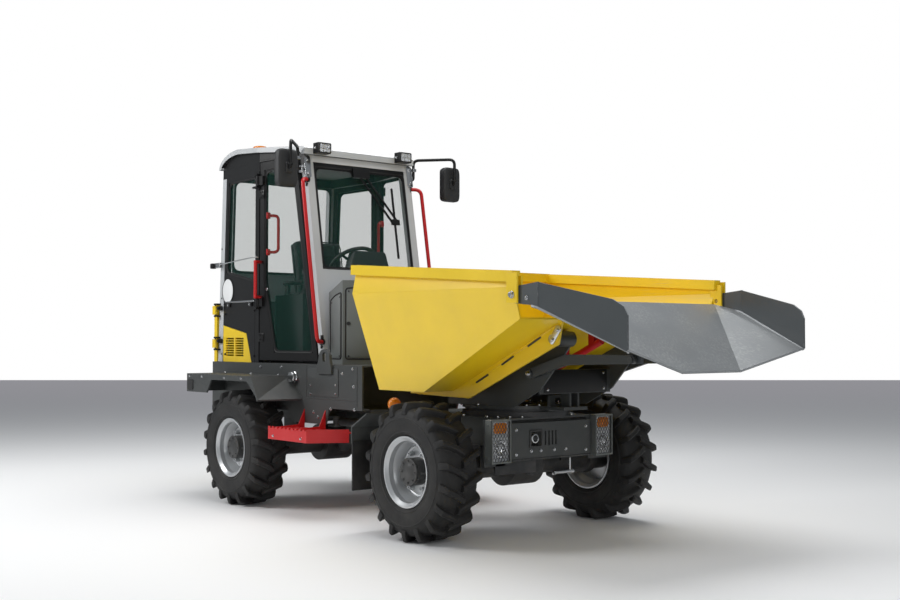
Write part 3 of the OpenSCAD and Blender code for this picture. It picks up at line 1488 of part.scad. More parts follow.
// Chute: a folded floor between two wings that hang on the skip's front corners
wing_kink_x = 1126;
wing_kink_low = 1395;
wing_kink_high = 1524;
wing_nose_r = 45;
wing_front_y = 745;
wing_arc_x = 1577;
wing_arc_z = 1422;
wing_top_x = 1640;
wing_top_z = 1385;
wing_low_z = 1158;
floor_rear_x = 975;
floor_rear_z = 1438;
floor_fold_y = 800;
floor_lip_x = 1590;
floor_lip_z = 1042;
floor_lip_y = 250;
wing_turn = atan2(wing_front_y - wing_y, lip_x - wing_kink_x);
eye_c_x = 1320;
eye_c_z = 1108;
bracket_gap = 3;
bracket_t = 10;
bracket_l = 110;
bracket_low = 1085;
function wing_u(x) = (x - wing_kink_x) / cos(wing_turn);
wing_end_u = (lip_x - wing_kink_x + wing_t * sin(wing_turn)) / cos(wing_turn);
module chute_wing() {
  difference() {
    union() {
      cyl_y(hinge_x, hinge_z, wing_nose_r, wing_y, wing_t);
      plate_xz([[hinge_x, hinge_z - wing_nose_r], [wing_kink_x + wing_t, wing_kink_low],
        [wing_kink_x + wing_t, wing_kink_high], [hinge_x, hinge_z + wing_nose_r]], wing_y, wing_t);
    }
    cyl_y(hinge_x, hinge_z, hinge_bolt_r + play, wing_y - over, wing_t + 2 * over);
  }
  translate([wing_kink_x, wing_y, 0]) rotate([0, 0, wing_turn])
    plate_xz([[0, wing_kink_low], [wing_end_u - wing_t, wing_low_z], [wing_end_u, wing_low_z + wing_t],
      [wing_end_u, wing_top_z - wing_nose_r], [wing_u(wing_top_x), wing_top_z],
      [wing_u(wing_arc_x), wing_arc_z],
      [0, wing_kink_high]], 0, wing_t);
}
module chute() {
  color("#5b6164") {
    both_sides() {
      chute_wing();
      plate_xz([[eye_c_x - bracket_l / 2, bracket_low], [eye_c_x + bracket_l / 2, bracket_low],
        [eye_c_x + bracket_l / 2, floor_z(eye_c_x + bracket_l / 2) - chute_t / 2],
        [eye_c_x - bracket_l / 2, floor_z(eye_c_x - bracket_l / 2) - chute_t / 2]],
        link_y - bracket_gap - bracket_t, bracket_t);
    }
    ruled_sheet(
      [[wing_kink_x - wing_nose_r, -wing_y - wing_t / 2, wing_kink_low + chute_t],
       [floor_rear_x, -floor_fold_y, floor_rear_z], [floor_rear_x, floor_fold_y, floor_rear_z],
       [wing_kink_x - wing_nose_r, wing_y + wing_t / 2, wing_kink_low + chute_t]],
      [[lip_x - wing_t, -wing_front_y - wing_t / 2, wing_low_z + chute_t],
       [floor_lip_x, -floor_lip_y, floor_lip_z], [floor_lip_x, floor_lip_y, floor_lip_z],
       [lip_x - wing_t, wing_front_y + wing_t / 2, wing_low_z + chute_t]],
      [0, 0, -chute_t]);
  }
}
function floor_z(x) = floor_rear_z
  + (floor_lip_z - floor_rear_z) * (x - floor_rear_x) / (floor_lip_x - floor_rear_x);

// Bent links that hold the chute up while the skip tips
link_w = 62;
link_end_r = 24;
link_bend_x = 817;
link_bend_z = 1100;
module chute_links() {
  color("#3f4343") both_sides() difference() {
    union() {
      cyl_y(link_x, link_z, link_w / 2, link_y, link_t);
      cyl_y(link_bend_x, link_bend_z, link_w / 2, link_y, link_t);
      cyl_y(eye_c_x, eye_c_z, link_end_r, link_y, link_t);
      plate_xz([[link_x, link_z - link_w / 2], [link_bend_x, link_bend_z - link_w / 2],
        [link_bend_x, link_bend_z + link_w / 2], [link_x, link_z + link_w / 2]], link_y, link_t);
      plate_xz([[link_bend_x, link_bend_z - link_w / 2], [eye_c_x, eye_c_z - link_end_r],
        [eye_c_x, eye_c_z + link_end_r], [link_bend_x, link_bend_z + link_w / 2]], link_y, link_t);
      cyl_y(eye_c_x, eye_c_z, link_pin_r, link_y + link_t - over, link_head_h);
    }
    cyl_y(link_x, link_z, link_pin_r + play, link_y - over, link_t + 2 * over);
  }
}

// Drawing of the nodes, with the origin under the middle of the length
module place() {
  translate([-origin_x, 0, 0]) children();
}
place() rear_chassis();
place() rear_axle();
place() engine_block();
place() rear_fenders();
place() engine_side_covers();
place() side_grilles();
place() cab_frame();
place() cab_side_panels();
place() cab_roof();
place() windscreen();
place() cab_windows();
place() cab_interior();
place() seat();
place() steering_wheel();
place() front_housing();
place() work_lights();
place() beacon();
place() mirrors();
place() handrails();
place() wiper();
place() steps();
place() lifting_eyes();
place() tail_lamps();
place() tow_hitch();
place() door_right();
place() door_glass_right();
place() door_left();
place() door_glass_left();
place() rear_hood();
place() front_chassis();
place() front_axle();
place() headlamps();
place() lamp_guards();
place() mudguards();
place() mud_flaps();
place() marker_lamps();
place() slew_ring();
place() swivel_console();
place() tip_barrel();
place() tip_rod();
place() skip();
place() skip_pins();
place() safety_prop();
place() chute();
place() chute_links();
place() steer_barrel();
place() steer_rod();
place() tyre_front_right();
place() tyre_front_left();
place() tyre_rear_right();
place() tyre_rear_left();
place() wheel_front_right();
place() wheel_front_left();
place() wheel_rear_right();
place() wheel_rear_left();
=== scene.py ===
# %% [markdown]
# # Dressing a site dumper
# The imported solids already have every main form, joint and size of the machine. This lesson adds what a
# painter, a glazier and a trimmer would add: finishes, seals, bolts, lenses, tyres and an upholstered seat.
# The joints and the solids stay as they are, and a finer mesh stands in for some plain solids.

# %% Load the frame
import json
import math
import bmesh
import bpy
from mathutils import Matrix, Vector


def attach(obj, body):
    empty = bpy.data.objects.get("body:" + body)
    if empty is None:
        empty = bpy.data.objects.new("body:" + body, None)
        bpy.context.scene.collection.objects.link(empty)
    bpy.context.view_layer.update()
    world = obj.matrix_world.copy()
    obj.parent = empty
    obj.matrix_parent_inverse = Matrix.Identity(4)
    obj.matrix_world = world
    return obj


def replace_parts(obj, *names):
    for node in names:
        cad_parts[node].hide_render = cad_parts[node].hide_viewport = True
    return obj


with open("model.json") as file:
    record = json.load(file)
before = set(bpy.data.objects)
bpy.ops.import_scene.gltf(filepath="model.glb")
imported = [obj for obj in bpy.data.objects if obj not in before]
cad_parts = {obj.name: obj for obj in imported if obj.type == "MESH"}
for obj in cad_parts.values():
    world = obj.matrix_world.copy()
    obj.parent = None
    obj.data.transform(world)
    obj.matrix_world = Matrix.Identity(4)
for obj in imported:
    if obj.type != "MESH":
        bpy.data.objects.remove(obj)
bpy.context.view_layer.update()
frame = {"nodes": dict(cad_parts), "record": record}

nodes = frame["nodes"]

# %% [markdown]
# The camera was solved from points that are known on both the machine and the picture, such as the wheel
# hubs and the cab's corners. A solved camera is better than one set by eye, because the match of every
# shape to the picture depends on it. The lens is given for a sensor 36 mm wide, and the picture it was
# solved on is 900 by 600.

# %% Camera
CAMERA_AT = (6.5146, -5.2528, 1.2184)
CAMERA_YAW, CAMERA_PITCH = math.radians(140.83), math.radians(1.875)
CAMERA_LENS, CAMERA_SENSOR, CAMERA_REACH = 48.07, 36.0, 200


def placed(name, data):
    """A new object of some data, linked to the scene."""
    made = bpy.data.objects.new(name, data)
    bpy.context.scene.collection.objects.link(made)
    return made


camera = placed("studio_camera", bpy.data.cameras.new("studio_camera"))
camera.data.lens, camera.data.sensor_width, camera.data.clip_end = CAMERA_LENS, CAMERA_SENSOR, CAMERA_REACH
camera.location = CAMERA_AT
camera.rotation_euler = (math.pi / 2 + CAMERA_PITCH, 0, CAMERA_YAW - math.pi / 2)
bpy.context.scene.camera = camera
print("camera at", CAMERA_AT)

# %% [markdown]
# Most pieces below are small meshes made by the same few operations: a rounded block, a turned profile, a
# bent tube and a plate cut from an outline. Each helper adds its shape to a bmesh, so that several shapes
# can become one piece. `piece` turns the bmesh into an object, rides it on a body and names its finish.

# %% Piece and merge
SMOOTH_ANGLE = math.radians(35)
materials = {}


def piece(name, mesh_data, body, slot, finish=None):
    """Makes the bmesh an object that rides on a body, with a finish from the materials below."""
    bmesh.ops.recalc_face_normals(mesh_data, faces=mesh_data.faces)
    mesh = bpy.data.meshes.new(name)
    mesh_data.to_mesh(mesh)
    mesh_data.free()
    mesh.shade_smooth()
    mesh.set_sharp_from_angle(angle=SMOOTH_ANGLE)
    made = placed(name, mesh)
    mesh.materials.append(materials[finish or slot])
    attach(made, body)
    return made


def merged(target, part, matrix=None):
    """Adds the bmesh part to target, moved by a matrix."""
    if matrix is not None:
        part.transform(matrix)
    carrier = bpy.data.meshes.new("carrier")
    part.to_mesh(carrier)
    part.free()
    target.from_mesh(carrier)
    bpy.data.meshes.remove(carrier)


print("a piece is smooth up to", round(math.degrees(SMOOTH_ANGLE)), "degrees")

# %% [markdown]
# Pressed and moulded parts have no sharp edges, so a block is a cube with bevelled edges. Caps and lenses
# are round, and a row of radius and height points is turned into one. With six segments the same turn makes
# a nut. A Screw modifier could turn it too, but rings built directly leave no modifier to apply.

# %% Block and turned profile
BEVEL_SHARE = 0.49


def block(target, low, high, bevel=0.004, steps=2, matrix=None):
    """A box between two corners with rounded edges."""
    part = bmesh.new()
    bmesh.ops.create_cube(part, size=1)
    low, high = Vector(low), Vector(high)
    size = high - low
    part.transform(Matrix.Translation((low + high) / 2) @ Matrix.Diagonal((*size, 1)))
    bevel = min(bevel, min(size) * BEVEL_SHARE)
    bmesh.ops.bevel(part, geom=part.edges[:], offset=bevel, segments=steps, profile=0.5, affect="EDGES")
    merged(target, part, matrix)


def ring_points(radius, count, x=0.0, y=0.0):
    """Points of a circle, for outlines and bolt circles."""
    turns = [2 * math.pi * i / count for i in range(count)]
    return [(x + radius * math.cos(a), y + radius * math.sin(a)) for a in turns]


def lathe(target, profile, matrix, segments=48, closed=False):
    """Turns a row of (radius, height) points about the local Z axis."""
    part = bmesh.new()
    rings = []
    for radius, height in profile:
        around = ring_points(radius, segments) if radius > 0 else [(0, 0)]
        rings.append([part.verts.new((x, y, height)) for x, y in around])
    pairs = list(zip(rings, rings[1:])) + ([(rings[-1], rings[0])] if closed else [])
    for one, two in pairs:
        for i in range(segments):
            j = (i + 1) % segments
            corners = [one[i % len(one)], one[j % len(one)], two[j % len(two)], two[i % len(two)]]
            corners = list(dict.fromkeys(corners))
            if len(corners) > 2:
                part.faces.new(corners)
    merged(target, part, matrix)


print("a bevel takes at most", BEVEL_SHARE, "of a block's least side")

# %% [markdown]
# Rails, wires and piping are bent tubes. A curve object with a bevel could draw one, but a mesh swept along
# a row of points can join other shapes in one piece. A rounded route serves twice: as the middle line of a
# tube and as the outline of a plate.

# %% Routes and tubes
ARC_SHARE = 0.45


def rounded(points, radius, steps=6, closed=False):
    """The same route with an arc at each inner corner."""
    points = [Vector(p) for p in points]
    count = len(points)
    route = []
    for i, corner in enumerate(points):
        if not closed and i in (0, count - 1):
            route.append(corner)
            continue
        before, after = points[i - 1] - corner, points[(i + 1) % count] - corner
        reach = min(radius, before.length * ARC_SHARE, after.length * ARC_SHARE)
        start, end = corner + before.normalized() * reach, corner + after.normalized() * reach
        for k in range(steps + 1):
            t = k / steps
            route.append(start * (1 - t) ** 2 + corner * 2 * t * (1 - t) + end * t ** 2)
    return route


def skin_rings(part, rings, closed=False):
    """Joins sections of equally many points with faces; an open row gets a face at each end."""
    for one, two in list(zip(rings, rings[1:])) + ([(rings[-1], rings[0])] if closed else []):
        for k in range(len(one)):
            after = (k + 1) % len(one)
            part.faces.new((one[k], one[after], two[after], two[k]))
    if not closed:
        part.faces.new(rings[0])
        part.faces.new(rings[-1])


def tube(target, route, radius, sides=10, closed=False):
    """Sweeps a circle along a route; radius is one number or a row with one for each point."""
    part = bmesh.new()
    count = len(route)
    radii = radius if isinstance(radius, list) else [radius] * count
    side_dir = None
    rings = []
    for i, point in enumerate(route):
        ahead = route[(i + 1) % count] if closed or i < count - 1 else point
        behind = route[i - 1] if closed or i > 0 else point
        along = (ahead - behind).normalized()
        if side_dir is None:
            side_dir = along.orthogonal().normalized()
        side_dir = (side_dir - along * side_dir.dot(along)).normalized()
        up = along.cross(side_dir)
        circle = ring_points(radii[i], sides)
        rings.append([part.verts.new(point + side_dir * u + up * v) for u, v in circle])
    skin_rings(part, rings, closed)
    merged(target, part)


print("an arc takes at most", ARC_SHARE, "of a side")

# %% [markdown]
# Panels and rims are plates, often with holes. A boolean could cut the holes, but filling the face between
# the outline and its holes is cleaner, and the fill is then raised to its thickness. A bolt is drawn once
# for a size of 1 and then scaled.

# %% Plates and bolts
RIM_TURN = 0.6
BOLT_WASHER = [(0, 0), (0.62, 0), (0.62, 0.1), (0, 0.1)]
BOLT_HEAD = [(0.5, 0.1), (0.5, 0.42), (0.42, 0.50), (0, 0.50)]


def plate(target, outline, thickness, matrix, bevel=0.0, holes=()):
    """A flat plate cut from an outline of (x, y) points, with holes, thick along local Z."""
    part = bmesh.new()
    loops = [[part.verts.new((x, y, 0)) for x, y in ring] for ring in (outline, *holes)]
    edges = [part.edges.new(pair) for ring in loops for pair in zip(ring, ring[1:] + ring[:1])]
    bmesh.ops.triangle_fill(part, edges=edges, use_beauty=True, use_dissolve=True)
    walls = bmesh.ops.extrude_face_region(part, geom=part.faces[:])["geom"]
    raised = [v for v in walls if isinstance(v, bmesh.types.BMVert)]
    bmesh.ops.translate(part, verts=raised, vec=(0, 0, thickness))
    bmesh.ops.recalc_face_normals(part, faces=part.faces)
    if bevel:
        rim = [e for e in part.edges if e.is_manifold and e.calc_face_angle(0) > RIM_TURN]
        bmesh.ops.bevel(part, geom=rim, offset=bevel, segments=2, profile=0.5, affect="EDGES")
    merged(target, part, matrix)


def facing(at, direction):
    """A matrix that puts local Z along a direction at a place."""
    return Matrix.Translation(at) @ Vector(direction).to_track_quat("Z", "Y").to_matrix().to_4x4()


def bolt(target, at, direction, size):
    """A washer and a six sided head with a chamfered top, as wide as size across its corners."""
    for profile, sides in ((BOLT_WASHER, 20), (BOLT_HEAD, 6)):
        lathe(target, [(r * size, h * size) for r, h in profile], facing(at, direction), sides)


print("bolt head turned from", len(BOLT_HEAD), "points")

# %% [markdown]
# Wear, dust and grain are needed by nearly every finish, so they are shader node groups with named sockets.
# `Wear and Dust` finds edges by comparing the true normal with the rounded one of a Bevel node, and lets
# dust settle on faces that look up and on what is near the ground. It reads object coordinates, which stay
# with a body when it moves. A baked picture could do the same, but nodes stay sharp at any distance.

# %% Node helpers
def fill(tree, made, values):
    """Gives a node its inputs: a socket is linked, and a plain value is set."""
    for key, value in values.items():
        if hasattr(value, "links"):
            tree.links.new(value, made.inputs[key])
        else:
            made.inputs[key].default_value = value


def node(tree, kind, values=None, **settings):
    """A new shader node with its settings and inputs."""
    made = tree.nodes.new(kind)
    for key, value in settings.items():
        setattr(made, key, value)
    fill(tree, made, values or {})
    return made


def math_node(tree, operation, a, b, clamp=False):
    """The result of a Math node whose two inputs are sockets or numbers."""
    return node(tree, "ShaderNodeMath", {0: a, 1: b}, operation=operation, use_clamp=clamp).outputs[0]


def noise_of(tree, vector, scale, detail=3.0, rough=0.55):
    """The grey value of a noise texture; scale is a number or a socket."""
    values = {"Vector": vector, "Scale": scale, "Detail": detail, "Roughness": rough}
    return node(tree, "ShaderNodeTexNoise", values).outputs["Fac"]


def ranged(tree, value, low, high, to_low=0.0, to_high=1.0):
    """Maps a value from one range to another, clamped."""
    return node(tree, "ShaderNodeMapRange", {0: value, 1: low, 2: high, 3: to_low, 4: to_high}).outputs[0]


def new_group(name, inputs, outputs):
    """An empty node group with float sockets; returns the tree, its input node and its output node."""
    tree = bpy.data.node_groups.new(name, "ShaderNodeTree")
    for label, default in inputs:
        socket = tree.interface.new_socket(label, in_out="INPUT", socket_type="NodeSocketFloat")
        socket.default_value = default
    for label in outputs:
        tree.interface.new_socket(label, in_out="OUTPUT", socket_type="NodeSocketFloat")
    return tree, tree.nodes.new("NodeGroupInput"), tree.nodes.new("NodeGroupOutput")


print("node helpers ready")

# %% [markdown]
# The first group makes the masks of wear and dust. Each is a noise, a direction or a height that is cut
# between two levels. Where four numbers are given, the last two say what those levels become.

# %% Wear and dust
EDGE_RADIUS, EDGE_SAMPLES, EDGE_LEVELS = 0.006, 4, (0.995, 0.86)
CHIP_SCALE, CHIP_LEVELS, CLOUD_SCALE, CLOUD_LEVELS = 38, (0.47, 0.62), 5.5, (0.35, 0.75)
SETTLED, THROWN = (0.35, 1.0, 0.0, 0.7), (1.0, 0.15, 0.0, 0.75)


def wear_and_dust():
    """Masks of chipped edges and of dust, and a slow change of tone."""
    tree, given, out = new_group("Wear and Dust", [("Wear", 0.5), ("Dust", 0.3), ("Tone Scale", 2.5)],
                                 ["Wear Mask", "Dust Mask", "Tone"])
    where = node(tree, "ShaderNodeTexCoord")
    place = where.outputs["Object"]
    shape = node(tree, "ShaderNodeNewGeometry")
    soft = node(tree, "ShaderNodeBevel", {"Radius": EDGE_RADIUS}, samples=EDGE_SAMPLES)
    turn = node(tree, "ShaderNodeVectorMath", {0: shape.outputs["Normal"], 1: soft.outputs[0]},
                operation="DOT_PRODUCT")
    edge = ranged(tree, turn.outputs["Value"], *EDGE_LEVELS)
    chips = ranged(tree, noise_of(tree, place, CHIP_SCALE, 6.0, 0.7), *CHIP_LEVELS)
    wear = math_node(tree, "MULTIPLY", math_node(tree, "MULTIPLY", edge, chips), given.outputs["Wear"], True)
    looks = node(tree, "ShaderNodeSeparateXYZ", {0: where.outputs["Normal"]})
    stands = node(tree, "ShaderNodeSeparateXYZ", {0: place})
    settled = ranged(tree, looks.outputs["Z"], *SETTLED)
    thrown = ranged(tree, stands.outputs["Z"], *THROWN)
    cloud = ranged(tree, noise_of(tree, place, CLOUD_SCALE, 6.0, 0.62), *CLOUD_LEVELS)
    lying = math_node(tree, "MULTIPLY", math_node(tree, "ADD", settled, thrown), cloud)
    dust = math_node(tree, "MULTIPLY", lying, given.outputs["Dust"], True)
    tone = noise_of(tree, place, given.outputs["Tone Scale"], 4.0)
    fill(tree, out, {"Wear Mask": wear, "Dust Mask": dust, "Tone": tone})
    return tree


print("wear reaches", EDGE_RADIUS, "m from an edge")

# %% [markdown]
# Powder coat, moulded plastic and rubber have a fine grain, and sheet that loads slide over has long
# scratches. Both could be painted pictures, but a noise has no seams. A noise that is stretched along one
# axis gives the scratches.

# %% Grain and scuffs
LINE_LEVELS, PATCH_SCALE, PATCH_LEVELS = (0.5, 0.68), 4.0, (0.38, 0.66)


def fine_grain():
    """A height of fine grain with a broader ripple."""
    tree, given, out = new_group("Fine Grain",
                                 [("Grain Scale", 600.0), ("Ripple Scale", 45.0), ("Ripple", 0.4)],
                                 ["Height"])
    place = node(tree, "ShaderNodeTexCoord").outputs["Object"]
    grain = noise_of(tree, place, given.outputs["Grain Scale"], 2.0)
    ripple = noise_of(tree, place, given.outputs["Ripple Scale"], 2.0)
    tall = math_node(tree, "ADD", grain, math_node(tree, "MULTIPLY", ripple, given.outputs["Ripple"]))
    fill(tree, out, {"Height": tall})
    return tree


def scuffs():
    """A mask of long scratches that lie in patches."""
    tree, given, out = new_group("Scuffs", [("Amount", 0.6), ("Length Scale", 3.0), ("Cross Scale", 120.0)],
                                 ["Scuff Mask"])
    place = node(tree, "ShaderNodeTexCoord").outputs["Object"]
    along, across = given.outputs["Length Scale"], given.outputs["Cross Scale"]
    scales = node(tree, "ShaderNodeCombineXYZ", {"X": along, "Y": across, "Z": across})
    stretch = node(tree, "ShaderNodeVectorMath", {0: place, 1: scales.outputs[0]}, operation="MULTIPLY")
    lines = ranged(tree, noise_of(tree, stretch.outputs[0], 1.0, 5.0, 0.65), *LINE_LEVELS)
    patches = ranged(tree, noise_of(tree, place, PATCH_SCALE, 3.0), *PATCH_LEVELS)
    mask = math_node(tree, "MULTIPLY", math_node(tree, "MULTIPLY", lines, patches), given.outputs["Amount"],
                     True)
    fill(tree, out, {"Scuff Mask": mask})
    return tree


GROUPS = {made.name: made for made in (wear_and_dust(), fine_grain(), scuffs())}
print("node groups:", sorted(GROUPS))

# %% [markdown]
# Sheet metal on such a machine is powder coated: a fairly glossy skin with a faint ripple, paler along
# knocked edges and dusty on top. One function makes every coat, and only its colour and its amounts change.
# Numbers that are the same all over stay on the Principled shader, because only those survive an export.

# %% Shader helpers
DUST = (0.42, 0.39, 0.35, 1)


def mix_colour(tree, factor, one, two):
    """A colour mix; each input is a socket or a value."""
    return node(tree, "ShaderNodeMix", {0: factor, 6: one, 7: two}, data_type="RGBA").outputs[2]


def group_node(tree, name, **values):
    """One of the node groups above, with its own values."""
    inputs = {key.replace("_", " "): value for key, value in values.items()}
    return node(tree, "ShaderNodeGroup", inputs, node_tree=GROUPS[name])


def shaded(name):
    """A new material, kept under its name; returns the material, its tree and its Principled shader."""
    made = materials[name] = bpy.data.materials.new(name)
    made.use_nodes = True
    return made, made.node_tree, made.node_tree.nodes["Principled BSDF"]


def bumped(tree, shader, height, strength, depth, edge=0.0):
    """Feeds a height into the shader's normal, which is rounded at edges by a bevel of that radius."""
    bump = node(tree, "ShaderNodeBump", {"Strength": strength, "Distance": depth, "Height": height})
    if edge:
        soft = node(tree, "ShaderNodeBevel", {"Radius": edge}, samples=EDGE_SAMPLES)
        fill(tree, bump, {"Normal": soft.outputs[0]})
    fill(tree, shader, {"Normal": bump.outputs[0]})


print("dust colour", DUST[:3])

# %% [markdown]
# A coat is layered as on the machine: first the tone of the paint, then bare patches where edges and scuffs
# have worn through it, then dust on top. Each layer is a colour mix with its own mask. One baked colour
# would be quicker to show, but layers can be changed one by one.

# %% One coat
ROUNDED_EDGE, GRAIN_DEPTH, TONE, WEAR_SHARE = 0.0025, 0.0015, 0.12, 0.85
DUST_DULLS, ROUGH_SPREAD, CLEAR_ROUGH = 0.4, 0.06, 0.12


def coat(name, colour, rough=0.35, wear=0.5, dust=0.25, bare=(0.3, 0.29, 0.28), metal=0.0, grain=700.0,
         ripple=0.5, bump=0.12, clear=0.0, scuff=0.0, shine=0.5):
    """A coloured finish with tone, worn edges, dust, scuffs and a fine grain."""
    made, tree, shader = shaded(name)
    masks = group_node(tree, "Wear and Dust", Wear=wear, Dust=dust).outputs
    deep = tuple(c * (1 - TONE) for c in colour) + (1,)
    pale = tuple(min(1, c * (1 + TONE)) for c in colour) + (1,)
    worn = math_node(tree, "MULTIPLY", masks["Wear Mask"], WEAR_SHARE)
    if scuff:
        lines = group_node(tree, "Scuffs", Amount=scuff)
        worn = math_node(tree, "MAXIMUM", worn, lines.outputs["Scuff Mask"])
    base = mix_colour(tree, worn, mix_colour(tree, masks["Tone"], deep, pale), (*bare, 1))
    base = mix_colour(tree, masks["Dust Mask"], base, DUST)
    dull = math_node(tree, "ADD", math_node(tree, "MULTIPLY", masks["Dust Mask"], DUST_DULLS),
                     ranged(tree, masks["Tone"], 0.2, 0.8, rough - ROUGH_SPREAD, rough + ROUGH_SPREAD))
    fill(tree, shader,
         {"Base Color": base, "Roughness": dull, "Metallic": metal, "Specular IOR Level": shine,
          "Coat Weight": clear, "Coat Roughness": CLEAR_ROUGH})
    grains = group_node(tree, "Fine Grain", Grain_Scale=grain, Ripple=ripple)
    bumped(tree, shader, grains.outputs["Height"], bump, GRAIN_DEPTH, ROUNDED_EDGE)


print("paint tone varies by", TONE)

# %% [markdown]
# Each coat below is one finish of this machine. The colours that show most were tuned until the render came
# close to the picture. The amounts follow the use: little wear on the cab, scuffs where loads slide, and
# more dust low down on iron and rims.

# %% Coats
coat("frame_grey", (0.049, 0.053, 0.0525), rough=0.42, dust=0.14, shine=0.4, bare=(0.2, 0.2, 0.2))
coat("cab_grey", (0.52, 0.535, 0.545), rough=0.33, wear=0.25, dust=0.10, clear=0.2)
coat("roof_grey", (0.64, 0.65, 0.66), rough=0.36, wear=0.2, dust=0.08, clear=0.15)
coat("black_panel", (0.009, 0.0092, 0.0096), rough=0.34, wear=0.2, dust=0.04, shine=0.28,
     bare=(0.08, 0.08, 0.08))
coat("yellow_paint", (0.87, 0.595, 0.010), rough=0.34, wear=0.35, dust=0.05, clear=0.2,
     bare=(0.45, 0.36, 0.16))
coat("yellow_inside", (0.82, 0.575, 0.008), rough=0.42, dust=0.08, scuff=0.30, shine=0.35,
     bare=(0.5, 0.42, 0.25))
coat("red_paint", (0.54, 0.008, 0.011), rough=0.36, wear=0.4, dust=0.06, clear=0.1, shine=0.4,
     bare=(0.35, 0.2, 0.18))
coat("chute_grey", (0.066, 0.074, 0.078), rough=0.38, dust=0.06, shine=0.4, bare=(0.32, 0.32, 0.32))
coat("chute_floor", (0.27, 0.285, 0.295), rough=0.40, wear=0.4, dust=0.10, scuff=0.55,
     bare=(0.62, 0.62, 0.61), metal=0.35)
coat("housing_grey", (0.135, 0.147, 0.143), rough=0.45, wear=0.3, dust=0.16, bump=0.2)
coat("dark_iron", (0.022, 0.023, 0.025), rough=0.5, dust=0.32, bump=0.5, grain=260.0,
     bare=(0.16, 0.15, 0.15))
coat("rim_silver", (0.50, 0.515, 0.53), rough=0.30, wear=0.4, dust=0.22, metal=0.55, clear=0.2)
coat("hub_black", (0.020, 0.021, 0.022), rough=0.38, wear=0.4, dust=0.2, bare=(0.2, 0.2, 0.2))
coat("bright_steel", (0.58, 0.59, 0.60), rough=0.22, wear=0.2, dust=0.05, metal=1.0, scuff=0.3,
     bare=(0.8, 0.8, 0.8), bump=0.05)
coat("cab_plastic", (0.022, 0.023, 0.025), rough=0.55, wear=0.1, dust=0.08, grain=950.0, bump=0.45,
     bare=(0.06, 0.06, 0.06))
coat("cab_lining", (0.20, 0.205, 0.205), rough=0.7, wear=0.0, dust=0.05, grain=820.0, bump=0.4)
coat("flap_rubber", (0.010, 0.010, 0.0104), rough=0.62, wear=0.3, dust=0.14, grain=420.0, bump=0.4,
     bare=(0.05, 0.05, 0.05))
coat("tyre_rubber", (0.0100, 0.0100, 0.0104), rough=0.62, dust=0.09, shine=0.35, grain=330.0, ripple=1.2,
     bump=0.5, bare=(0.06, 0.058, 0.055))
coat("seal_rubber", (0.008, 0.008, 0.0085), rough=0.48, wear=0.0, dust=0.05, grain=500.0, bump=0.3)
coat("sign_white", (0.80, 0.81, 0.81), rough=0.36, wear=0.1, dust=0.05, clear=0.3)
print("coats:", len(materials))

# %% [markdown]
# Glass and lenses let light through. Lamp lenses keep a plain Transmission Weight. They are moulded plastic
# with fine flutes, which a Wave texture gives as a bump. The cab glass has a green tint and is drawn thin:
# Alpha lets most of the view pass without the noise that real refraction brings in a small pane.

# %% Glass, lenses and mirrors
GLASS_DUST, GLASS_ROUGH, GLASS_IOR, DUST_HIDES = 0.05, (0.015, 0.06), 1.5, 0.25
LENS_WEAR, LENS_DUST, LENS_ROUGH, LENS_IOR, FLUTES = 0.1, 0.12, (0.06, 0.14), 1.49, 160.0


def clear_finish(name, colour, wear, dust, rough, ior):
    """The start of a see through finish with faint dust; returns its tree, shader and masks."""
    made, tree, shader = shaded(name)
    masks = group_node(tree, "Wear and Dust", Wear=wear, Dust=dust).outputs
    base = mix_colour(tree, masks["Dust Mask"], (*colour, 1), DUST)
    fill(tree, shader, {"Base Color": base, "Roughness": ranged(tree, masks["Tone"], 0.0, 1.0, *rough),
                        "IOR": ior})
    return tree, shader, masks


def tinted_glass(name, colour, alpha):
    """Thin window glass: a tinted, glossy skin that is mostly see through."""
    tree, shader, masks = clear_finish(name, colour, 0.0, GLASS_DUST, GLASS_ROUGH, GLASS_IOR)
    hidden = math_node(tree, "MULTIPLY", masks["Dust Mask"], DUST_HIDES)
    fill(tree, shader, {"Alpha": math_node(tree, "ADD", hidden, alpha)})


def lens(name, colour, clear):
    """A moulded lamp lens with flutes."""
    tree, shader, masks = clear_finish(name, colour, LENS_WEAR, LENS_DUST, LENS_ROUGH, LENS_IOR)
    fill(tree, shader, {"Transmission Weight": clear})
    place = node(tree, "ShaderNodeTexCoord").outputs["Object"]
    wave = node(tree, "ShaderNodeTexWave", {"Vector": place, "Scale": FLUTES, "Distortion": 0.0},
                bands_direction="Y")
    bumped(tree, shader, wave.outputs["Fac"], 0.35, 0.001)


tinted_glass("cab_glass", (0.020, 0.085, 0.064), 0.15)
lens("lamp_clear", (0.86, 0.88, 0.9), 0.75)
lens("lamp_amber", (0.95, 0.30, 0.012), 0.35)
lens("lamp_red", (0.62, 0.012, 0.012), 0.3)
coat("mirror_face", (0.82, 0.84, 0.85), rough=0.07, wear=0.0, dust=0.04, metal=1.0, bump=0.0)
coat("reflector", (0.86, 0.86, 0.87), rough=0.12, wear=0.0, dust=0.03, metal=1.0, bump=0.02)
print("clear finishes:", [k for k in materials if k.startswith(("cab_glass", "lamp"))])

# %% [markdown]
# The seat is covered with a coarse dark cloth. Threads are two crossed waves whose product makes small
# bumps, and a slow noise keeps the cloth from looking printed. A picture of cloth could do this too, but
# the seat would have to be unwrapped for it.

# %% Seat cloth
THREAD_SCALE, THREAD_BEND, CLOTH_NOISE, CLOTH_ROUGH, CLOTH_SHEEN = 420.0 / 6.28, 0.6, 60.0, (0.75, 0.95), 0.3


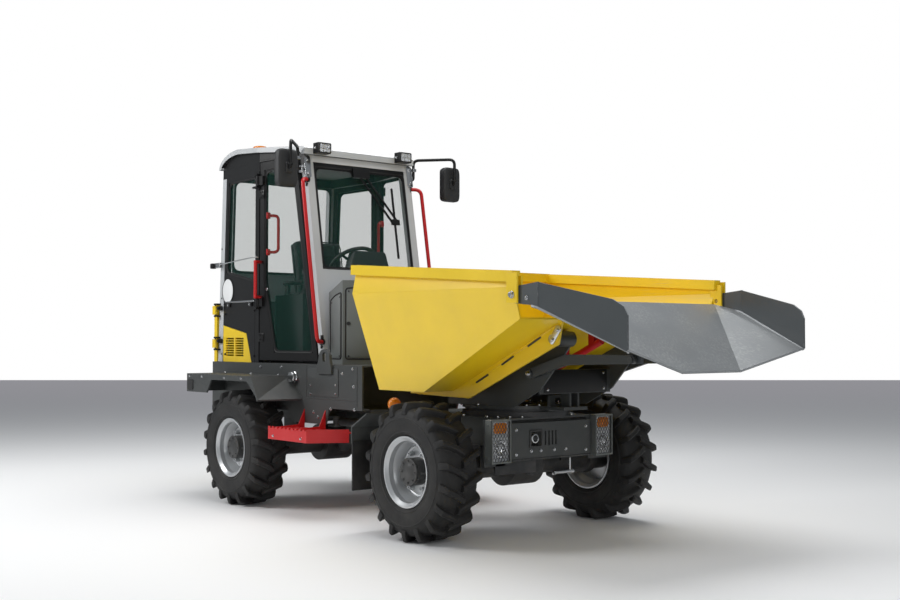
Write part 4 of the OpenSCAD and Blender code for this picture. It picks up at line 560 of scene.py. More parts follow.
def woven(name, dark, light):
    """A cloth of crossed threads between two tones."""
    made, tree, shader = shaded(name)
    place = node(tree, "ShaderNodeTexCoord").outputs["Object"]
    thread = {"Vector": place, "Scale": THREAD_SCALE, "Distortion": THREAD_BEND, "Detail": 1.0}
    waves = [node(tree, "ShaderNodeTexWave", thread, bands_direction=way) for way in ("Y", "DIAGONAL")]
    weave = math_node(tree, "MULTIPLY", waves[0].outputs["Fac"], waves[1].outputs["Fac"])
    tone = noise_of(tree, place, CLOTH_NOISE, 4.0)
    colour = mix_colour(tree, math_node(tree, "MULTIPLY", weave, tone), (*dark, 1), (*light, 1))
    fill(tree, shader, {"Base Color": colour, "Roughness": ranged(tree, tone, 0.0, 1.0, *CLOTH_ROUGH),
                        "Sheen Weight": CLOTH_SHEEN})
    bumped(tree, shader, weave, 0.6, 0.002)


woven("seat_cloth", (0.010, 0.010, 0.012), (0.055, 0.056, 0.06))
coat("seat_vinyl", (0.018, 0.018, 0.02), rough=0.5, wear=0.0, dust=0.06, grain=520.0, bump=0.35)
print("seat cloth with a wave scale of", round(THREAD_SCALE, 1))

# %% [markdown]
# Every solid takes the finish that the record names for it. Some solids are painted in two finishes, such
# as a wheel with its dark hub or a chute with its bare floor. Such a solid could be cut in two, but its
# faces are sorted by place and direction instead, which changes only the material of a face and never a
# vertex.

# %% Finishes on the solids
WHEEL_Y, AXLE_Z, FRONT_X, REAR_X = 0.767, 0.4225, 0.740, -1.400
WHEELS = {"front_right": (FRONT_X, -1, "wheel_fr"), "front_left": (FRONT_X, 1, "wheel_fl"),
          "rear_right": (REAR_X, -1, "wheel_rr"), "rear_left": (REAR_X, 1, "wheel_rl")}
HUB_EDGE_R = 0.0865
SKIP_MIDDLE, SKIP_HALF, SKIP_FLOOR_Z, SKIP_FRONT_X = Vector((0.84, 0, 1.45)), 0.852, 0.9, 1.66
CHUTE_FLOOR_TOP = 1.42

for entry in frame["record"]["subparts"]:
    mesh = nodes[entry["node"]].data
    mesh.materials.clear()
    mesh.materials.append(materials[entry["material_slot"]])


def repaint(node_name, finish, test):
    """Gives a second finish to the faces of a solid that pass a test of centre and normal."""
    mesh = nodes[node_name].data
    mesh.materials.append(materials[finish])
    index = len(mesh.materials) - 1
    chosen = [face for face in mesh.polygons if test(face.center, face.normal)]
    for face in chosen:
        face.material_index = index
    return len(chosen)


def in_skip(c, n):
    """True for the skip's faces that look into its hollow."""
    within = abs(c.y) < SKIP_HALF and c.z > SKIP_FLOOR_Z and c.x < SKIP_FRONT_X
    return within and n.z > -0.2 and n.dot(SKIP_MIDDLE - c) > 0


for corner, (axle_x, side, body) in WHEELS.items():
    repaint("wheel_" + corner, "hub_black", lambda c, n: math.hypot(c.x - axle_x, c.z - AXLE_Z) < HUB_EDGE_R)
inside = repaint("skip", "yellow_inside", in_skip)
floor_faces = repaint("chute", "chute_floor", lambda c, n: n.z > 0.3 and c.z < CHUTE_FLOOR_TOP)
print("second finishes: skip", inside, "faces, chute", floor_faces, "faces")

# %% [markdown]
# The tyres are farm tyres: tall bars in two rows that meet in the middle like a herringbone. The solid tyre
# has its bars, but square ones. Displacement could shape them, but it needs a very dense mesh. Here each
# bar is a loft of nine sections, tapered to its top and drawn down over the shoulder, set round a turned
# carcass with moulded rings. The lofted tyre replaces the solid one.

# %% Tyres
BARS, BAR_LEAD, BAR_BEND, SHOULDER = 18, 0.070, 0.78, 0.131
BAR_FOOT, BAR_TOP, BAR_CHAMFER = 0.027, 0.0165, 0.005
CARCASS = [(0.197, 0.113), (0.213, 0.1165), (0.220, 0.123), (0.226, 0.130), (0.234, 0.1345),
           (0.2365, 0.1385), (0.2425, 0.1390), (0.245, 0.1375), (0.258, 0.1415), (0.280, 0.1445),
           (0.300, 0.1450), (0.318, 0.1440), (0.3205, 0.1460), (0.3255, 0.1455), (0.328, 0.1425),
           (0.345, 0.1385), (0.360, 0.1325), (0.3725, 0.1235), (0.3810, 0.108), (0.3865, 0.080),
           (0.3895, 0.042), (0.3905, 0.0)]
BAR_STATIONS = [(-0.012, 0.4200, 0.382), (0.0, 0.4222, 0.384), (0.03, 0.4225, 0.384), (0.06, 0.4222, 0.381),
                (0.09, 0.4212, 0.376), (0.115, 0.4195, 0.368), (0.128, 0.4160, 0.362),
                (0.1365, 0.398, 0.356), (0.1435, 0.374, 0.346)]


def tread_bar(target, turn, side):
    """One bar of the tread, lofted from the middle of the tyre to its shoulder."""
    part = bmesh.new()
    rings = []
    for across, top, foot in BAR_STATIONS:
        lead = BAR_LEAD * (max(across, 0) / SHOULDER) ** BAR_BEND
        half = [(BAR_FOOT, foot), (BAR_TOP + BAR_CHAMFER / 2, top - BAR_CHAMFER),
                (BAR_TOP - BAR_CHAMFER, top)]
        ring = []
        for step, radius in [(-step, radius) for step, radius in half] + half[::-1]:
            angle = turn + (lead + step) / AXLE_Z
            ring.append(part.verts.new((radius * math.cos(angle), radius * math.sin(angle), side * across)))
        rings.append(ring)
    skin_rings(part, rings)
    merged(target, part)


def wheel_matrix(axle_x, side):
    """Puts local Z along the axle, outwards."""
    return facing((axle_x, side * WHEEL_Y, AXLE_Z), (0, side, 0))


for corner, (axle_x, side, body) in WHEELS.items():
    rubber = bmesh.new()
    section = CARCASS + [(r, -h) for r, h in reversed(CARCASS[:-1])]
    lathe(rubber, section, Matrix.Identity(4), 96, closed=True)
    for i in range(BARS):
        tread_bar(rubber, 2 * math.pi * i / BARS, 1)
        tread_bar(rubber, 2 * math.pi * (i + 0.5) / BARS, -1)
    rubber.transform(wheel_matrix(axle_x, side))
    tread = piece("tread_" + corner, rubber, body, "tyre_rubber")
    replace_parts(tread, "tyre_" + corner)
print("tyre faces:", len(tread.data.polygons))

# %% [markdown]
# A wheel is held by a ring of nuts, and its hub has a bolted cap. A bent valve stem stands beside the disc.
# An array modifier could set them, but loops place them on their circles just as well, and they ride with
# the wheel, so they turn with it.

# %% Wheel nuts, hub caps and valves
NUT_RING, NUTS, NUT_FACE = 0.118, 6, 0.040
NUT = [(0.0145, 0), (0.0145, 0.012), (0.012, 0.015), (0, 0.015)]
STUD = [(0.006, 0.014), (0.006, 0.024), (0.004, 0.026), (0, 0.026)]
DISC_RIB = [(0.158, 0.021), (0.150, 0.0245), (0.142, 0.0215)]
CAP_RING, CAP_BOLTS, CAP_BOLT, CAP_FACE = 0.066, 8, 0.013, 0.106
CAP = [(0.084, 0.096), (0.084, 0.103), (0.081, 0.106), (0.050, 0.1065), (0.047, 0.1085), (0, 0.109)]
VALVE = [(0.150, 0, 0.012), (0.150, 0, 0.055), (0.120, 0, 0.085)]
VALVE_R, VALVE_BEND, VALVE_CAP = 0.0045, 0.02, [(0.0065, 0), (0.0065, 0.012), (0, 0.014)]
for corner, (axle_x, side, body) in WHEELS.items():
    fastened, cap = bmesh.new(), bmesh.new()
    for x, y in ring_points(NUT_RING, NUTS):
        lathe(fastened, NUT, Matrix.Translation((x, y, NUT_FACE)), 6)
        lathe(fastened, STUD, Matrix.Translation((x, y, NUT_FACE)), 10)
    lathe(fastened, DISC_RIB, Matrix.Identity(4), 64)
    lathe(cap, CAP, Matrix.Identity(4), 48)
    for x, y in ring_points(CAP_RING, CAP_BOLTS):
        bolt(cap, (x, y, CAP_FACE), (0, 0, 1), CAP_BOLT)
    stem = rounded(VALVE, VALVE_BEND)
    tube(cap, stem, VALVE_R, 8)
    lathe(cap, VALVE_CAP, facing(stem[-1], stem[-1] - stem[-2]), 10)
    for made in (fastened, cap):
        made.transform(wheel_matrix(axle_x, side))
    piece("wheel_nuts_" + corner, fastened, body, "rim_silver")
    piece("hub_cap_" + corner, cap, body, "rim_silver", "hub_black")
print("wheels dressed:", len(WHEELS))

# %% [markdown]
# The cab's windows lie in planes that lean back or turn inwards. Their corners could be given in the
# machine's frame, but it is easier to draw each one flat and then set it in its plane. The planes below
# follow the solids, so that borders lie true on the panes.

# %% Flat frames of the cab
CAB_LEAN, CAB_FOOT_X, CAB_FOOT_Z = 0.174, -0.770, 1.040
DOOR_HINGE_X, DOOR_HINGE_Y, DOOR_TURN = -1.550, 0.570, math.radians(6.582)
REAR_CORNER_X, REAR_CORNER_Y, REAR_TURN = -2.270, 0.530, math.radians(3.18)


def pane_frame(at, along, up, out):
    """A matrix with local X along the sill, Y up the pane and Z outwards."""
    axes = [Vector(v).normalized() for v in (along, up, out)]
    return Matrix.Translation(at) @ Matrix(axes).transposed().to_4x4()


def cab_front(z):
    """X of the cab's front plane at a height."""
    return CAB_FOOT_X - CAB_LEAN * (z - CAB_FOOT_Z)


def cab_front_plane(y, z):
    """The cab front's flat frame at a place: local X across, Y up the lean, Z outwards."""
    return pane_frame((cab_front(z), y, z), (0, 1, 0), (-CAB_LEAN, 0, 1), (1, 0, CAB_LEAN))


def door_plane(side):
    """The door's flat frame: local X forwards from the hinge, Y up, Z outwards."""
    across, along = side * math.sin(DOOR_TURN), math.cos(DOOR_TURN)
    return pane_frame((DOOR_HINGE_X, side * DOOR_HINGE_Y, 0), (along, -across, 0), (0, 0, 1),
                      (side * across, side * along, 0))


def side_plane(side):
    """The rear side panel's flat frame: local X forwards from the rear corner, Y up, Z outwards."""
    across, along = side * math.sin(REAR_TURN), math.cos(REAR_TURN)
    return pane_frame((REAR_CORNER_X, side * REAR_CORNER_Y, 0), (along, across, 0), (0, 0, 1),
                      (-side * across, side * along, 0))


print("doors turned in by", round(math.degrees(DOOR_TURN), 2), "degrees")

# %% [markdown]
# Bonded cab glass has a black printed border that hides the glue, and the panes sit in rubber. A border
# could be painted by a mask in the glass shader, but a thin plate with a rounded hole gives a true edge
# from any angle.

# %% Borders and beads
BORDER_T, BEAD_R, BEAD_IN, BEAD_CORNER, PANE_STEPS = 0.003, 0.0055, 0.003, 0.04, 8


def drawn_in(points, depth):
    """A convex outline drawn in by a depth."""
    points = [Vector(p) for p in points]
    middle = sum(points, Vector((0, 0))) / len(points)
    lines = []
    for a, b in zip(points, points[1:] + points[:1]):
        along = (b - a).normalized()
        inwards = Vector((-along.y, along.x))
        if inwards.dot(middle - a) < 0:
            inwards.negate()
        lines.append((a + inwards * depth, along))
    corners = []
    for (a, u), (b, v) in zip([lines[-1]] + lines[:-1], lines):
        step = b - a
        corners.append(a + u * ((step.x * v.y - step.y * v.x) / (u.x * v.y - u.y * v.x)))
    return corners


def border(target, outline, matrix, wide, corner, lift):
    """A flat rim inside an outline, with a round cornered hole."""
    hole = rounded(drawn_in(outline, wide), corner, PANE_STEPS, closed=True)
    plate(target, outline, BORDER_T, matrix @ Matrix.Translation((0, 0, lift)), holes=[hole])


def bead(target, outline, matrix, lift, corner=BEAD_CORNER, inset=BEAD_IN, radius=BEAD_R):
    """A rubber bead that follows an outline."""
    ring = rounded(drawn_in(outline, inset), corner, PANE_STEPS, closed=True)
    tube(target, [matrix @ Vector((p.x, p.y, lift)) for p in ring], radius, 8, closed=True)


def trapezoid(foot, low, head, high):
    """A symmetric outline that reaches foot to each side at its bottom and head at its top."""
    return [(-foot, low), (foot, low), (head, high), (-head, high)]


print("borders", BORDER_T, "m thick, beads", BEAD_R, "m in radius")

# %% [markdown]
# The cab has a front and a rear pane, two side panes and two door panes. A table holds what differs between
# the fixed ones, so one loop makes them all, and the door panes are apart because they ride on the doors. A
# dark header and a pale brow close the front above the glass.

# %% Window borders and seals
SCREEN_HALF, SCREEN_LOW, SCREEN_TALL, HEADER_TALL = 0.419, 1.735, 0.786, 0.812
NOTCH_FOOT, NOTCH_HEAD, NOTCH_LOW = 0.075, 0.110, 0.742
BROW_FOOT, BROW_HEAD, BROW_LOW, BROW_HIGH = 0.440, 0.425, 0.814, 0.866
REAR_LEAN, REAR_SILL_IN = 0.0452, 0.032
SCREEN = trapezoid(SCREEN_HALF, 0.0, SCREEN_HALF, SCREEN_TALL)
HEADER = trapezoid(SCREEN_HALF, SCREEN_TALL, SCREEN_HALF, HEADER_TALL)
NOTCH = trapezoid(NOTCH_FOOT, NOTCH_LOW, NOTCH_HEAD, SCREEN_TALL)
BROW = trapezoid(BROW_FOOT, BROW_LOW, BROW_HEAD, BROW_HIGH)
REAR_WINDOW = trapezoid(0.47, 1.760, 0.47, 2.515)
DOOR_WINDOW = [(0.190, 1.118), (0.651, 1.118), (0.4065, 2.514), (0.058, 2.514), (0.058, 1.660)]
SIDE_WINDOW = [(0.142, 1.750), (0.6531, 1.660), (0.6531, 2.475), (0.184, 2.475)]
DOORS = {1: "left_door", -1: "right_door"}
screen_plane = cab_front_plane(0, SCREEN_LOW)
rear_plane = pane_frame((REAR_CORNER_X + REAR_SILL_IN, 0, 0), (0, 1, 0), (REAR_LEAN, 0, 1),
                        (-1, 0, REAR_LEAN))

FIXED_PANES = [(SCREEN, screen_plane, 0.020, 0.05, -0.006, -0.003),
               (REAR_WINDOW, rear_plane, 0.018, 0.06, -0.002, 0.001)]
FIXED_PANES += [(SIDE_WINDOW, side_plane(side), 0.015, 0.05, -0.010, -0.008) for side in (-1, 1)]
DOOR_BORDER, DOOR_BORDER_CORNER, DOOR_BORDER_LIFT = 0.017, 0.05, -0.011
DOOR_BEAD_LIFT, DOOR_BEAD_CORNER = -0.008, 0.03
rims, beads, brow = bmesh.new(), bmesh.new(), bmesh.new()
for outline, flat, wide, corner, lift, bead_lift in FIXED_PANES:
    border(rims, outline, flat, wide, corner, lift)
    bead(beads, outline, flat, bead_lift)
plate(rims, NOTCH, BORDER_T, screen_plane @ Matrix.Translation((0, 0, -0.006)))
plate(rims, HEADER, BORDER_T, screen_plane @ Matrix.Translation((0, 0, -0.002)))
plate(brow, BROW, BORDER_T, screen_plane, 0.001)
piece("window_borders", rims, "rear_frame", "black_panel")
piece("cab_brow", brow, "rear_frame", "cab_grey", "roof_grey")
piece("window_beads", beads, "rear_frame", "flap_rubber", "seal_rubber")
for side, body in DOORS.items():
    rims, beads = bmesh.new(), bmesh.new()
    border(rims, DOOR_WINDOW, door_plane(side), DOOR_BORDER, DOOR_BORDER_CORNER, DOOR_BORDER_LIFT)
    bead(beads, DOOR_WINDOW, door_plane(side), DOOR_BEAD_LIFT, DOOR_BEAD_CORNER)
    piece("door_border_" + body, rims, body, "black_panel")
    piece("door_bead_" + body, beads, body, "flap_rubber", "seal_rubber")
print("window borders: front, rear, two sides, two doors")

# %% [markdown]
# The roof is a thin moulded skin over a black box, and the doors' outer handles are red. These could be
# pieces of their own, but the solids already have the forms, so only the finish of some faces is changed.

# %% Roof, header and handle finishes
ROOF_EDGE = [(-1.0137, 0.506), (-1.55, 0.596), (-2.226, 0.556)]
ROOF_SKIN_IN, ROOF_FRONT_X, ROOF_BACK_X, CROWN_Z, CROWN_BACK_X = 0.013, -1.022, -2.215, 2.66, -1.8
HEADER_Z, HANDLE_U, HANDLE_OUT, HANDLE_LOW, HANDLE_HIGH = 2.50, 0.10, 0.02, 1.53, 1.82


def roof_half_width(x):
    """Half the roof's width at a place along the cab."""
    for (ax, ay), (bx, by) in zip(ROOF_EDGE, ROOF_EDGE[1:]):
        if x >= bx:
            return ay + (by - ay) * (x - ax) / (bx - ax)
    return ROOF_EDGE[-1][1]


def under_skin(c, n):
    """True for the roof's lower faces and for the upright faces of the box under its skin."""
    inside_skin = abs(c.y) < roof_half_width(c.x) - ROOF_SKIN_IN and ROOF_BACK_X < c.x < ROOF_FRONT_X
    rear_crown = c.z > CROWN_Z and c.x < CROWN_BACK_X
    return n.z < -0.5 or (abs(n.z) < 0.3 and inside_skin and not rear_crown)


def on_handle(flat):
    """A test for the faces of a door's outer handle, in the door's flat frame."""
    back = flat.inverted()
    return lambda c, n: ((back @ c).x < HANDLE_U and (back @ c).z > HANDLE_OUT
                         and HANDLE_LOW < c.z < HANDLE_HIGH)


hidden = repaint("cab_roof", "black_panel", under_skin)
crown = repaint("cab_roof", "roof_grey", lambda c, n: n.z > 0.5)
header = repaint("cab_frame", "black_panel", lambda c, n: c.z > HEADER_Z and (abs(n.y) > 0.8 or n.x > 0.8))
handles = repaint("door_left", "red_paint", on_handle(door_plane(1)))
handles += repaint("door_right", "red_paint", on_handle(door_plane(-1)))
print("faces: black roof", hidden, "pale roof", crown, "header", header, "handles", handles)

# %% [markdown]
# Inside, the roof has a grey lining with a seam down its middle and a small lamp. The lining could be a
# finish on the roof's lower face, but a thin plate with a hole gives it an edge and a place for the lamp.

# %% Roof lining
LINING_Z, LINING_T, LINING_CORNER = 2.586, 0.004, 0.06
LINING = [(-2.16, -0.50), (-1.55, -0.53), (-1.09, -0.43), (-1.09, 0.43), (-1.55, 0.53), (-2.16, 0.50)]
SEAM_BACK_X, SEAM_FRONT_X, SEAM_R = -2.12, -1.58, 0.004
ROOM_LAMP_X, ROOM_LAMP_HOLE = -1.5, 0.055
ROOM_LAMP = [(0.053, 0.004), (0.053, -0.006), (0.045, -0.011), (0.020, -0.014), (0, -0.0145)]
lining, room_lamp = bmesh.new(), bmesh.new()
plate(lining, rounded(LINING, LINING_CORNER, 6, True), LINING_T, Matrix.Translation((0, 0, LINING_Z)),
      holes=[ring_points(ROOM_LAMP_HOLE, 32, ROOM_LAMP_X, 0)])
tube(lining, [Vector((SEAM_BACK_X, 0, LINING_Z)), Vector((SEAM_FRONT_X, 0, LINING_Z))], SEAM_R, 8)
lathe(room_lamp, ROOM_LAMP, Matrix.Translation((ROOM_LAMP_X, 0, LINING_Z)), 40)
piece("roof_lining", lining, "rear_frame", "cab_plastic", "cab_lining")
piece("room_lamp", room_lamp, "rear_frame", "lamp_clear")
print("roof lining at", LINING_Z, "m")

# %% [markdown]
# A work light is a finned box with a bezel, six small reflectors and a clear lens. A bright picture behind
# the lens could stand for the reflectors, but turned bowls catch the light from every side.

# %% Work lights
LIGHT_X, LIGHT_Y, LIGHT_Z = -0.9437, 0.375, 2.6355
FINS, FIN_PITCH, FIN_T, FIN_X, FIN_HALF, FIN_HALF_TALL = 5, 0.012, 0.004, -0.95, 0.058, 0.034
BOWL = [(0.0140, 0.0055), (0.0115, 0.0035), (0.007, 0.0015), (0.0035, 0.0012), (0.0035, 0.0030), (0, 0.0036)]
BOWL_ROWS, BOWL_COLS = (-0.015, 0.015), (-0.030, 0.0, 0.030)
LIGHT_LENS = ((-0.0465, -0.0305, 0.0058), (0.0465, 0.0305, 0.0074))
LIGHT_BOLT_X, LIGHT_BOLT_OUT, LIGHT_BOLT = -0.985, 0.0555, 0.016


def looking_ahead(at):
    """A flat frame that faces forwards: local X across the machine, Y up."""
    return pane_frame(at, (0, 1, 0), (0, 0, 1), (1, 0, 0))


def looking_back(at):
    """A flat frame that faces backwards: local X across the machine, Y up."""
    return pane_frame(at, (0, 1, 0), (0, 0, 1), (-1, 0, 0))


def rect(half_wide, half_tall, at=(0, 0)):
    """The corners of a rectangle about a middle point."""
    return [(at[0] + u * half_wide, at[1] + v * half_tall) for u, v in ((-1, -1), (1, -1), (1, 1), (-1, 1))]


def round_rect(half_wide, half_tall, corner, steps=5, at=(0, 0)):
    """The outline of a rectangle with rounded corners about a middle point."""
    return rounded(rect(half_wide, half_tall, at), corner, steps, True)


bezels, bowls, lenses, fixings = bmesh.new(), bmesh.new(), bmesh.new(), bmesh.new()
for side in (-1, 1):
    y = side * LIGHT_Y
    at = looking_ahead((LIGHT_X, y, LIGHT_Z))
    plate(bezels, round_rect(0.055, 0.039, 0.012), 0.008, at, 0.0015,
          holes=[round_rect(0.046, 0.030, 0.008)])
    for k in range(FINS):
        x = FIN_X - FIN_PITCH * k
        block(bezels, (x - FIN_T, y - FIN_HALF, LIGHT_Z - FIN_HALF_TALL),
              (x, y + FIN_HALF, LIGHT_Z + FIN_HALF_TALL), 0.0015, 1)
    for row in BOWL_ROWS:
        for col in BOWL_COLS:
            lathe(bowls, BOWL, at @ Matrix.Translation((col, row, 0)), 20)
    block(lenses, *LIGHT_LENS, 0.0006, 1, at)
    for turn in (-1, 1):
        bolt(fixings, (LIGHT_BOLT_X, y + turn * LIGHT_BOLT_OUT, LIGHT_Z), (0, turn, 0), LIGHT_BOLT)
piece("work_light_bezels", bezels, "rear_frame", "black_panel")
piece("work_light_bowls", bowls, "rear_frame", "rim_silver", "reflector")
piece("work_light_lenses", lenses, "rear_frame", "lamp_clear")
piece("work_light_bolts", fixings, "rear_frame", "bright_steel")
print("work lights: 2, fins on each:", FINS)

# %% [markdown]
# The beacon has a rubber foot with grips and a fluted amber dome. The flutes could be a bump in the shader,
# but they show at the dome's outline, so each is a small rib. The dome replaces the solid beacon.

# %% Beacon
BEACON_AT, FOOT_RIBS, DOME_FLUTES = (-1.96, -0.33, 2.720), 24, 36
BEACON_FOOT = [(0, 0.0), (0.062, 0.0), (0.064, 0.005), (0.060, 0.010), (0.0585, 0.016), (0.0575, 0.0165),
               (0.054, 0.0165)]
BEACON_DOME = [(0.0562, 0.016), (0.0566, 0.030), (0.0562, 0.044), (0.053, 0.053), (0.045, 0.0565),
               (0.030, 0.0575), (0, 0.058)]


def ribbed(target, at, count, low, high, bevel):
    """Small upright ribs set round a turned part."""
    for k in range(count):
        block(target, low, high, bevel, 1, at @ Matrix.Rotation(2 * math.pi * k / count, 4, "Z"))


foot, dome = bmesh.new(), bmesh.new()
beacon_at = Matrix.Translation(BEACON_AT)
lathe(foot, BEACON_FOOT, beacon_at, 56)
ribbed(foot, beacon_at, FOOT_RIBS, (0.0575, -0.0025, 0.003), (0.0635, 0.0025, 0.014), 0.001)
lathe(dome, BEACON_DOME, beacon_at, 72)
ribbed(dome, beacon_at, DOME_FLUTES, (0.0555, -0.0011, 0.018), (0.0576, 0.0011, 0.046), 0.0005)
piece("beacon_foot", foot, "rear_frame", "black_panel", "seal_rubber")
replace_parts(piece("beacon_dome", dome, "rear_frame", "lamp_amber"), "beacon")
print("beacon flutes:", DOME_FLUTES)

# %% [markdown]
# A mirror head is a moulded shell: nearly a rounded box, but crowned on every side. A bevelled cube would
# keep flat faces. A superellipse gives the crowned form directly, because its power sets how square it is.

# %% Crowned shell
SHELL_POWER, SHELL_RINGS, SHELL_COLS = 0.32, 24, 48


def signed_power(value, power):
    """A power that keeps the sign of its base."""
    return math.copysign(abs(value) ** power, value)


def crowned_shell(target, at, size):
    """A closed superellipsoid."""
    part = bmesh.new()
    bmesh.ops.create_uvsphere(part, u_segments=SHELL_COLS, v_segments=SHELL_RINGS, radius=1)
    for vert in part.verts:
        around, up = math.atan2(vert.co.y, vert.co.x), math.asin(max(-1, min(1, vert.co.z)))
        flat = signed_power(math.cos(up), SHELL_POWER)
        unit = (flat * signed_power(math.cos(around), SHELL_POWER),
                flat * signed_power(math.sin(around), SHELL_POWER), signed_power(math.sin(up), SHELL_POWER))
        vert.co = Vector([share * length / 2 for share, length in zip(unit, size)]) + Vector(at)
    merged(target, part)


def block_about(target, at, half, bevel=0.004, steps=2):
    """A rounded block about a middle point, with half its size to each side."""
    at, half = Vector(at), Vector(half)
    block(target, at - half, at + half, bevel, steps)


print("shell power", SHELL_POWER)

# %% [markdown]
# A mirror's glass is a flat plate in the rear face of its shell. The real arm is bent from one tube, so one
# tube along a rounded route draws it, and a strap and clamps hold it to the cab. The whole replaces the
# plain solid mirror.

# %% Mirrors
MIRROR_AT, MIRROR_SIZE = (-0.860, 0.7545, 2.4435), (0.066, 0.163, 0.272)
BOSS_OUT, BOSS_SIZE, GLASS_BACK = 0.030, (0.030, 0.060, 0.075), 0.0318
ARM_R, ARM_BEND, ARM_LOW, ARM_TOP = 0.0118, 0.045, 2.480, 2.640
ARM_FOOT_X, ARM_FOOT_Y, ARM_POST_X, ARM_POST_Y, ARM_FRONT_X = -1.0500, 0.478, -1.0556, 0.538, -0.803
ARM_COLLAR = [(0, 0.0), (0.019, 0.0), (0.019, 0.012), (0.015, 0.016), (0, 0.016)]
STRAP_Y, STRAP_Z, CLAMP_X, CLAMP_Y, CLAMP_Z = 0.472, 2.50, -1.055, 0.505, 2.480
heads, arms, brackets, glass = bmesh.new(), bmesh.new(), bmesh.new(), bmesh.new()
for side in (-1, 1):
    x, y, z = MIRROR_AT[0], side * MIRROR_AT[1], MIRROR_AT[2]
    crowned_shell(heads, (x, y, z), MIRROR_SIZE)
    crowned_shell(heads, (x + BOSS_OUT, y, z), BOSS_SIZE)
    face = looking_back((x - GLASS_BACK, y, z))
    rim = round_rect(0.071, 0.124, 0.03, 8)
    plate(heads, round_rect(0.076, 0.130, 0.034, 8), 0.0035, face, holes=[rim])
    plate(glass, rim, 0.0018, face)
    post_y = side * ARM_POST_Y
    corners = [(ARM_FOOT_X, side * ARM_FOOT_Y, ARM_LOW), (ARM_POST_X, post_y, ARM_LOW),
               (ARM_POST_X, post_y, ARM_TOP), (ARM_FRONT_X, y, ARM_TOP), (ARM_FRONT_X, y, z),
               (x + BOSS_OUT, y, z)]
    tube(arms, rounded(corners, ARM_BEND, 8), ARM_R, 14)
    lathe(arms, ARM_COLLAR, facing((ARM_FRONT_X, y, z + 0.03), (0, 0, -1)), 24)
    block_about(brackets, (CLAMP_X, side * CLAMP_Y, CLAMP_Z), (0.020, 0.012, 0.028), 0.003)
    block_about(brackets, (ARM_POST_X, post_y, 2.560), (0.018, 0.017, 0.012), 0.003)
    plate(brackets, round_rect(0.026, 0.0875, 0.024, 6, (0, -0.0025)), 0.006,
          cab_front_plane(side * STRAP_Y, STRAP_Z), 0.0015)
    for z in (STRAP_Z - 0.055, STRAP_Z + 0.050):
        bolt(brackets, (cab_front(z) + 0.006, side * STRAP_Y, z), (1, 0, CAB_LEAN), 0.016)
    for z in (CLAMP_Z - 0.018, CLAMP_Z + 0.018):
        bolt(brackets, (CLAMP_X + 0.020, side * CLAMP_Y, z), (1, 0, 0), 0.014)
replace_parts(piece("mirror_heads", heads, "rear_frame", "cab_plastic"), "mirrors")
piece("mirror_arms", arms, "rear_frame", "black_panel")
piece("mirror_clamps", brackets, "rear_frame", "bright_steel")
piece("mirror_glass", glass, "rear_frame", "rim_silver", "mirror_face")
print("mirrors: 2, shell", MIRROR_SIZE)

# %% [markdown]
# The hand rails at the door posts are bent from tube, so their corners are arcs and not mitres. A curve
# object with a round bevel would do as well, but the tube helper is at hand, so one tube along a rounded
# route makes each rail. Each foot is a small flange between two bolted blocks.

# %% Hand rails
RAIL_R, RAIL_BEND, RAIL_FOOT_OUT, RAIL_BOLT = 0.0142, 0.075, 0.032, 0.013
RAIL_INNER_Y, RAIL_OUTER_Y, RAIL_OUT_X = 0.452, 0.549, 0.063
RAIL_ENDS = [(-1.0346, 2.400), (-0.8258, 1.200)]
RAIL_FLANGE = [(0, 0), (0.026, 0), (0.026, 0.005), (0.021, 0.008), (0.0150, 0.0085), (0, 0.0085)]
rails, feet = bmesh.new(), bmesh.new()
for side in (-1, 1):
    inner = [Vector((x, side * RAIL_INNER_Y, z)) for x, z in RAIL_ENDS]
    outer = [Vector((x + RAIL_OUT_X, side * RAIL_OUTER_Y, z)) for x, z in RAIL_ENDS]
    tube(rails, rounded([inner[0], outer[0], outer[1], inner[1]], RAIL_BEND, 10), RAIL_R, 16)
    for start, end in zip(inner, outer):
        way = (end - start).normalized()
        at = start + way * RAIL_FOOT_OUT
        lathe(feet, RAIL_FLANGE, facing(at, way), 24)
        for up in (-0.033, 0.033):
            block_about(feet, at + Vector((-0.002, 0, up)), (0.009, 0.009, 0.016), 0.003)
            bolt(feet, at + Vector((0.007, 0, up)), (1, 0, 0), RAIL_BOLT)
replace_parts(piece("hand_rails", rails, "rear_frame", "red_paint"), "handrails")
piece("hand_rail_feet", feet, "rear_frame", "black_panel")
print("hand rails: 2")

# %% [markdown]
# An upholstered seat is the one soft thing here. A cushion could be sculpted by hand, but a script has to
# make it the same way each time. Each cushion starts as a remeshed block a little smaller than its solid
# and is blown up by cloth with pressure for a few frames. Each point may move only a little, so the form
# stays a cushion and not a balloon. Stitched channels are pressed in along set lines.

# %% Cushion
CUSHION_FRAMES, CUSHION_PRESSURE, CUSHION_VOXEL, CUSHION_EDGE = 18, 4.0, 0.0085, 0.028
CUSHION_MOVE, CUSHION_FILL, CHANNEL_DEPTH, CHANNEL_WIDE = 0.020, 0.6, 0.009, 0.007


def blown_up(made):
    """The places of a closed mesh's points after cloth with pressure has blown it up."""
    cloth = made.modifiers.new("blown", "CLOTH")
    cloth.settings.use_pressure = True
    cloth.settings.uniform_pressure_force = CUSHION_PRESSURE
    cloth.settings.effector_weights.gravity = 0
    cloth.settings.quality = 4
    cloth.point_cache.frame_end = CUSHION_FRAMES
    for step in range(1, CUSHION_FRAMES + 1):
        bpy.context.scene.frame_set(step)
    blown = made.evaluated_get(bpy.context.evaluated_depsgraph_get()).to_mesh()
    places = [v.co.copy() for v in blown.vertices]
    made.evaluated_get(bpy.context.evaluated_depsgraph_get()).to_mesh_clear()
    made.modifiers.remove(cloth)
    bpy.context.scene.frame_set(1)
    return places


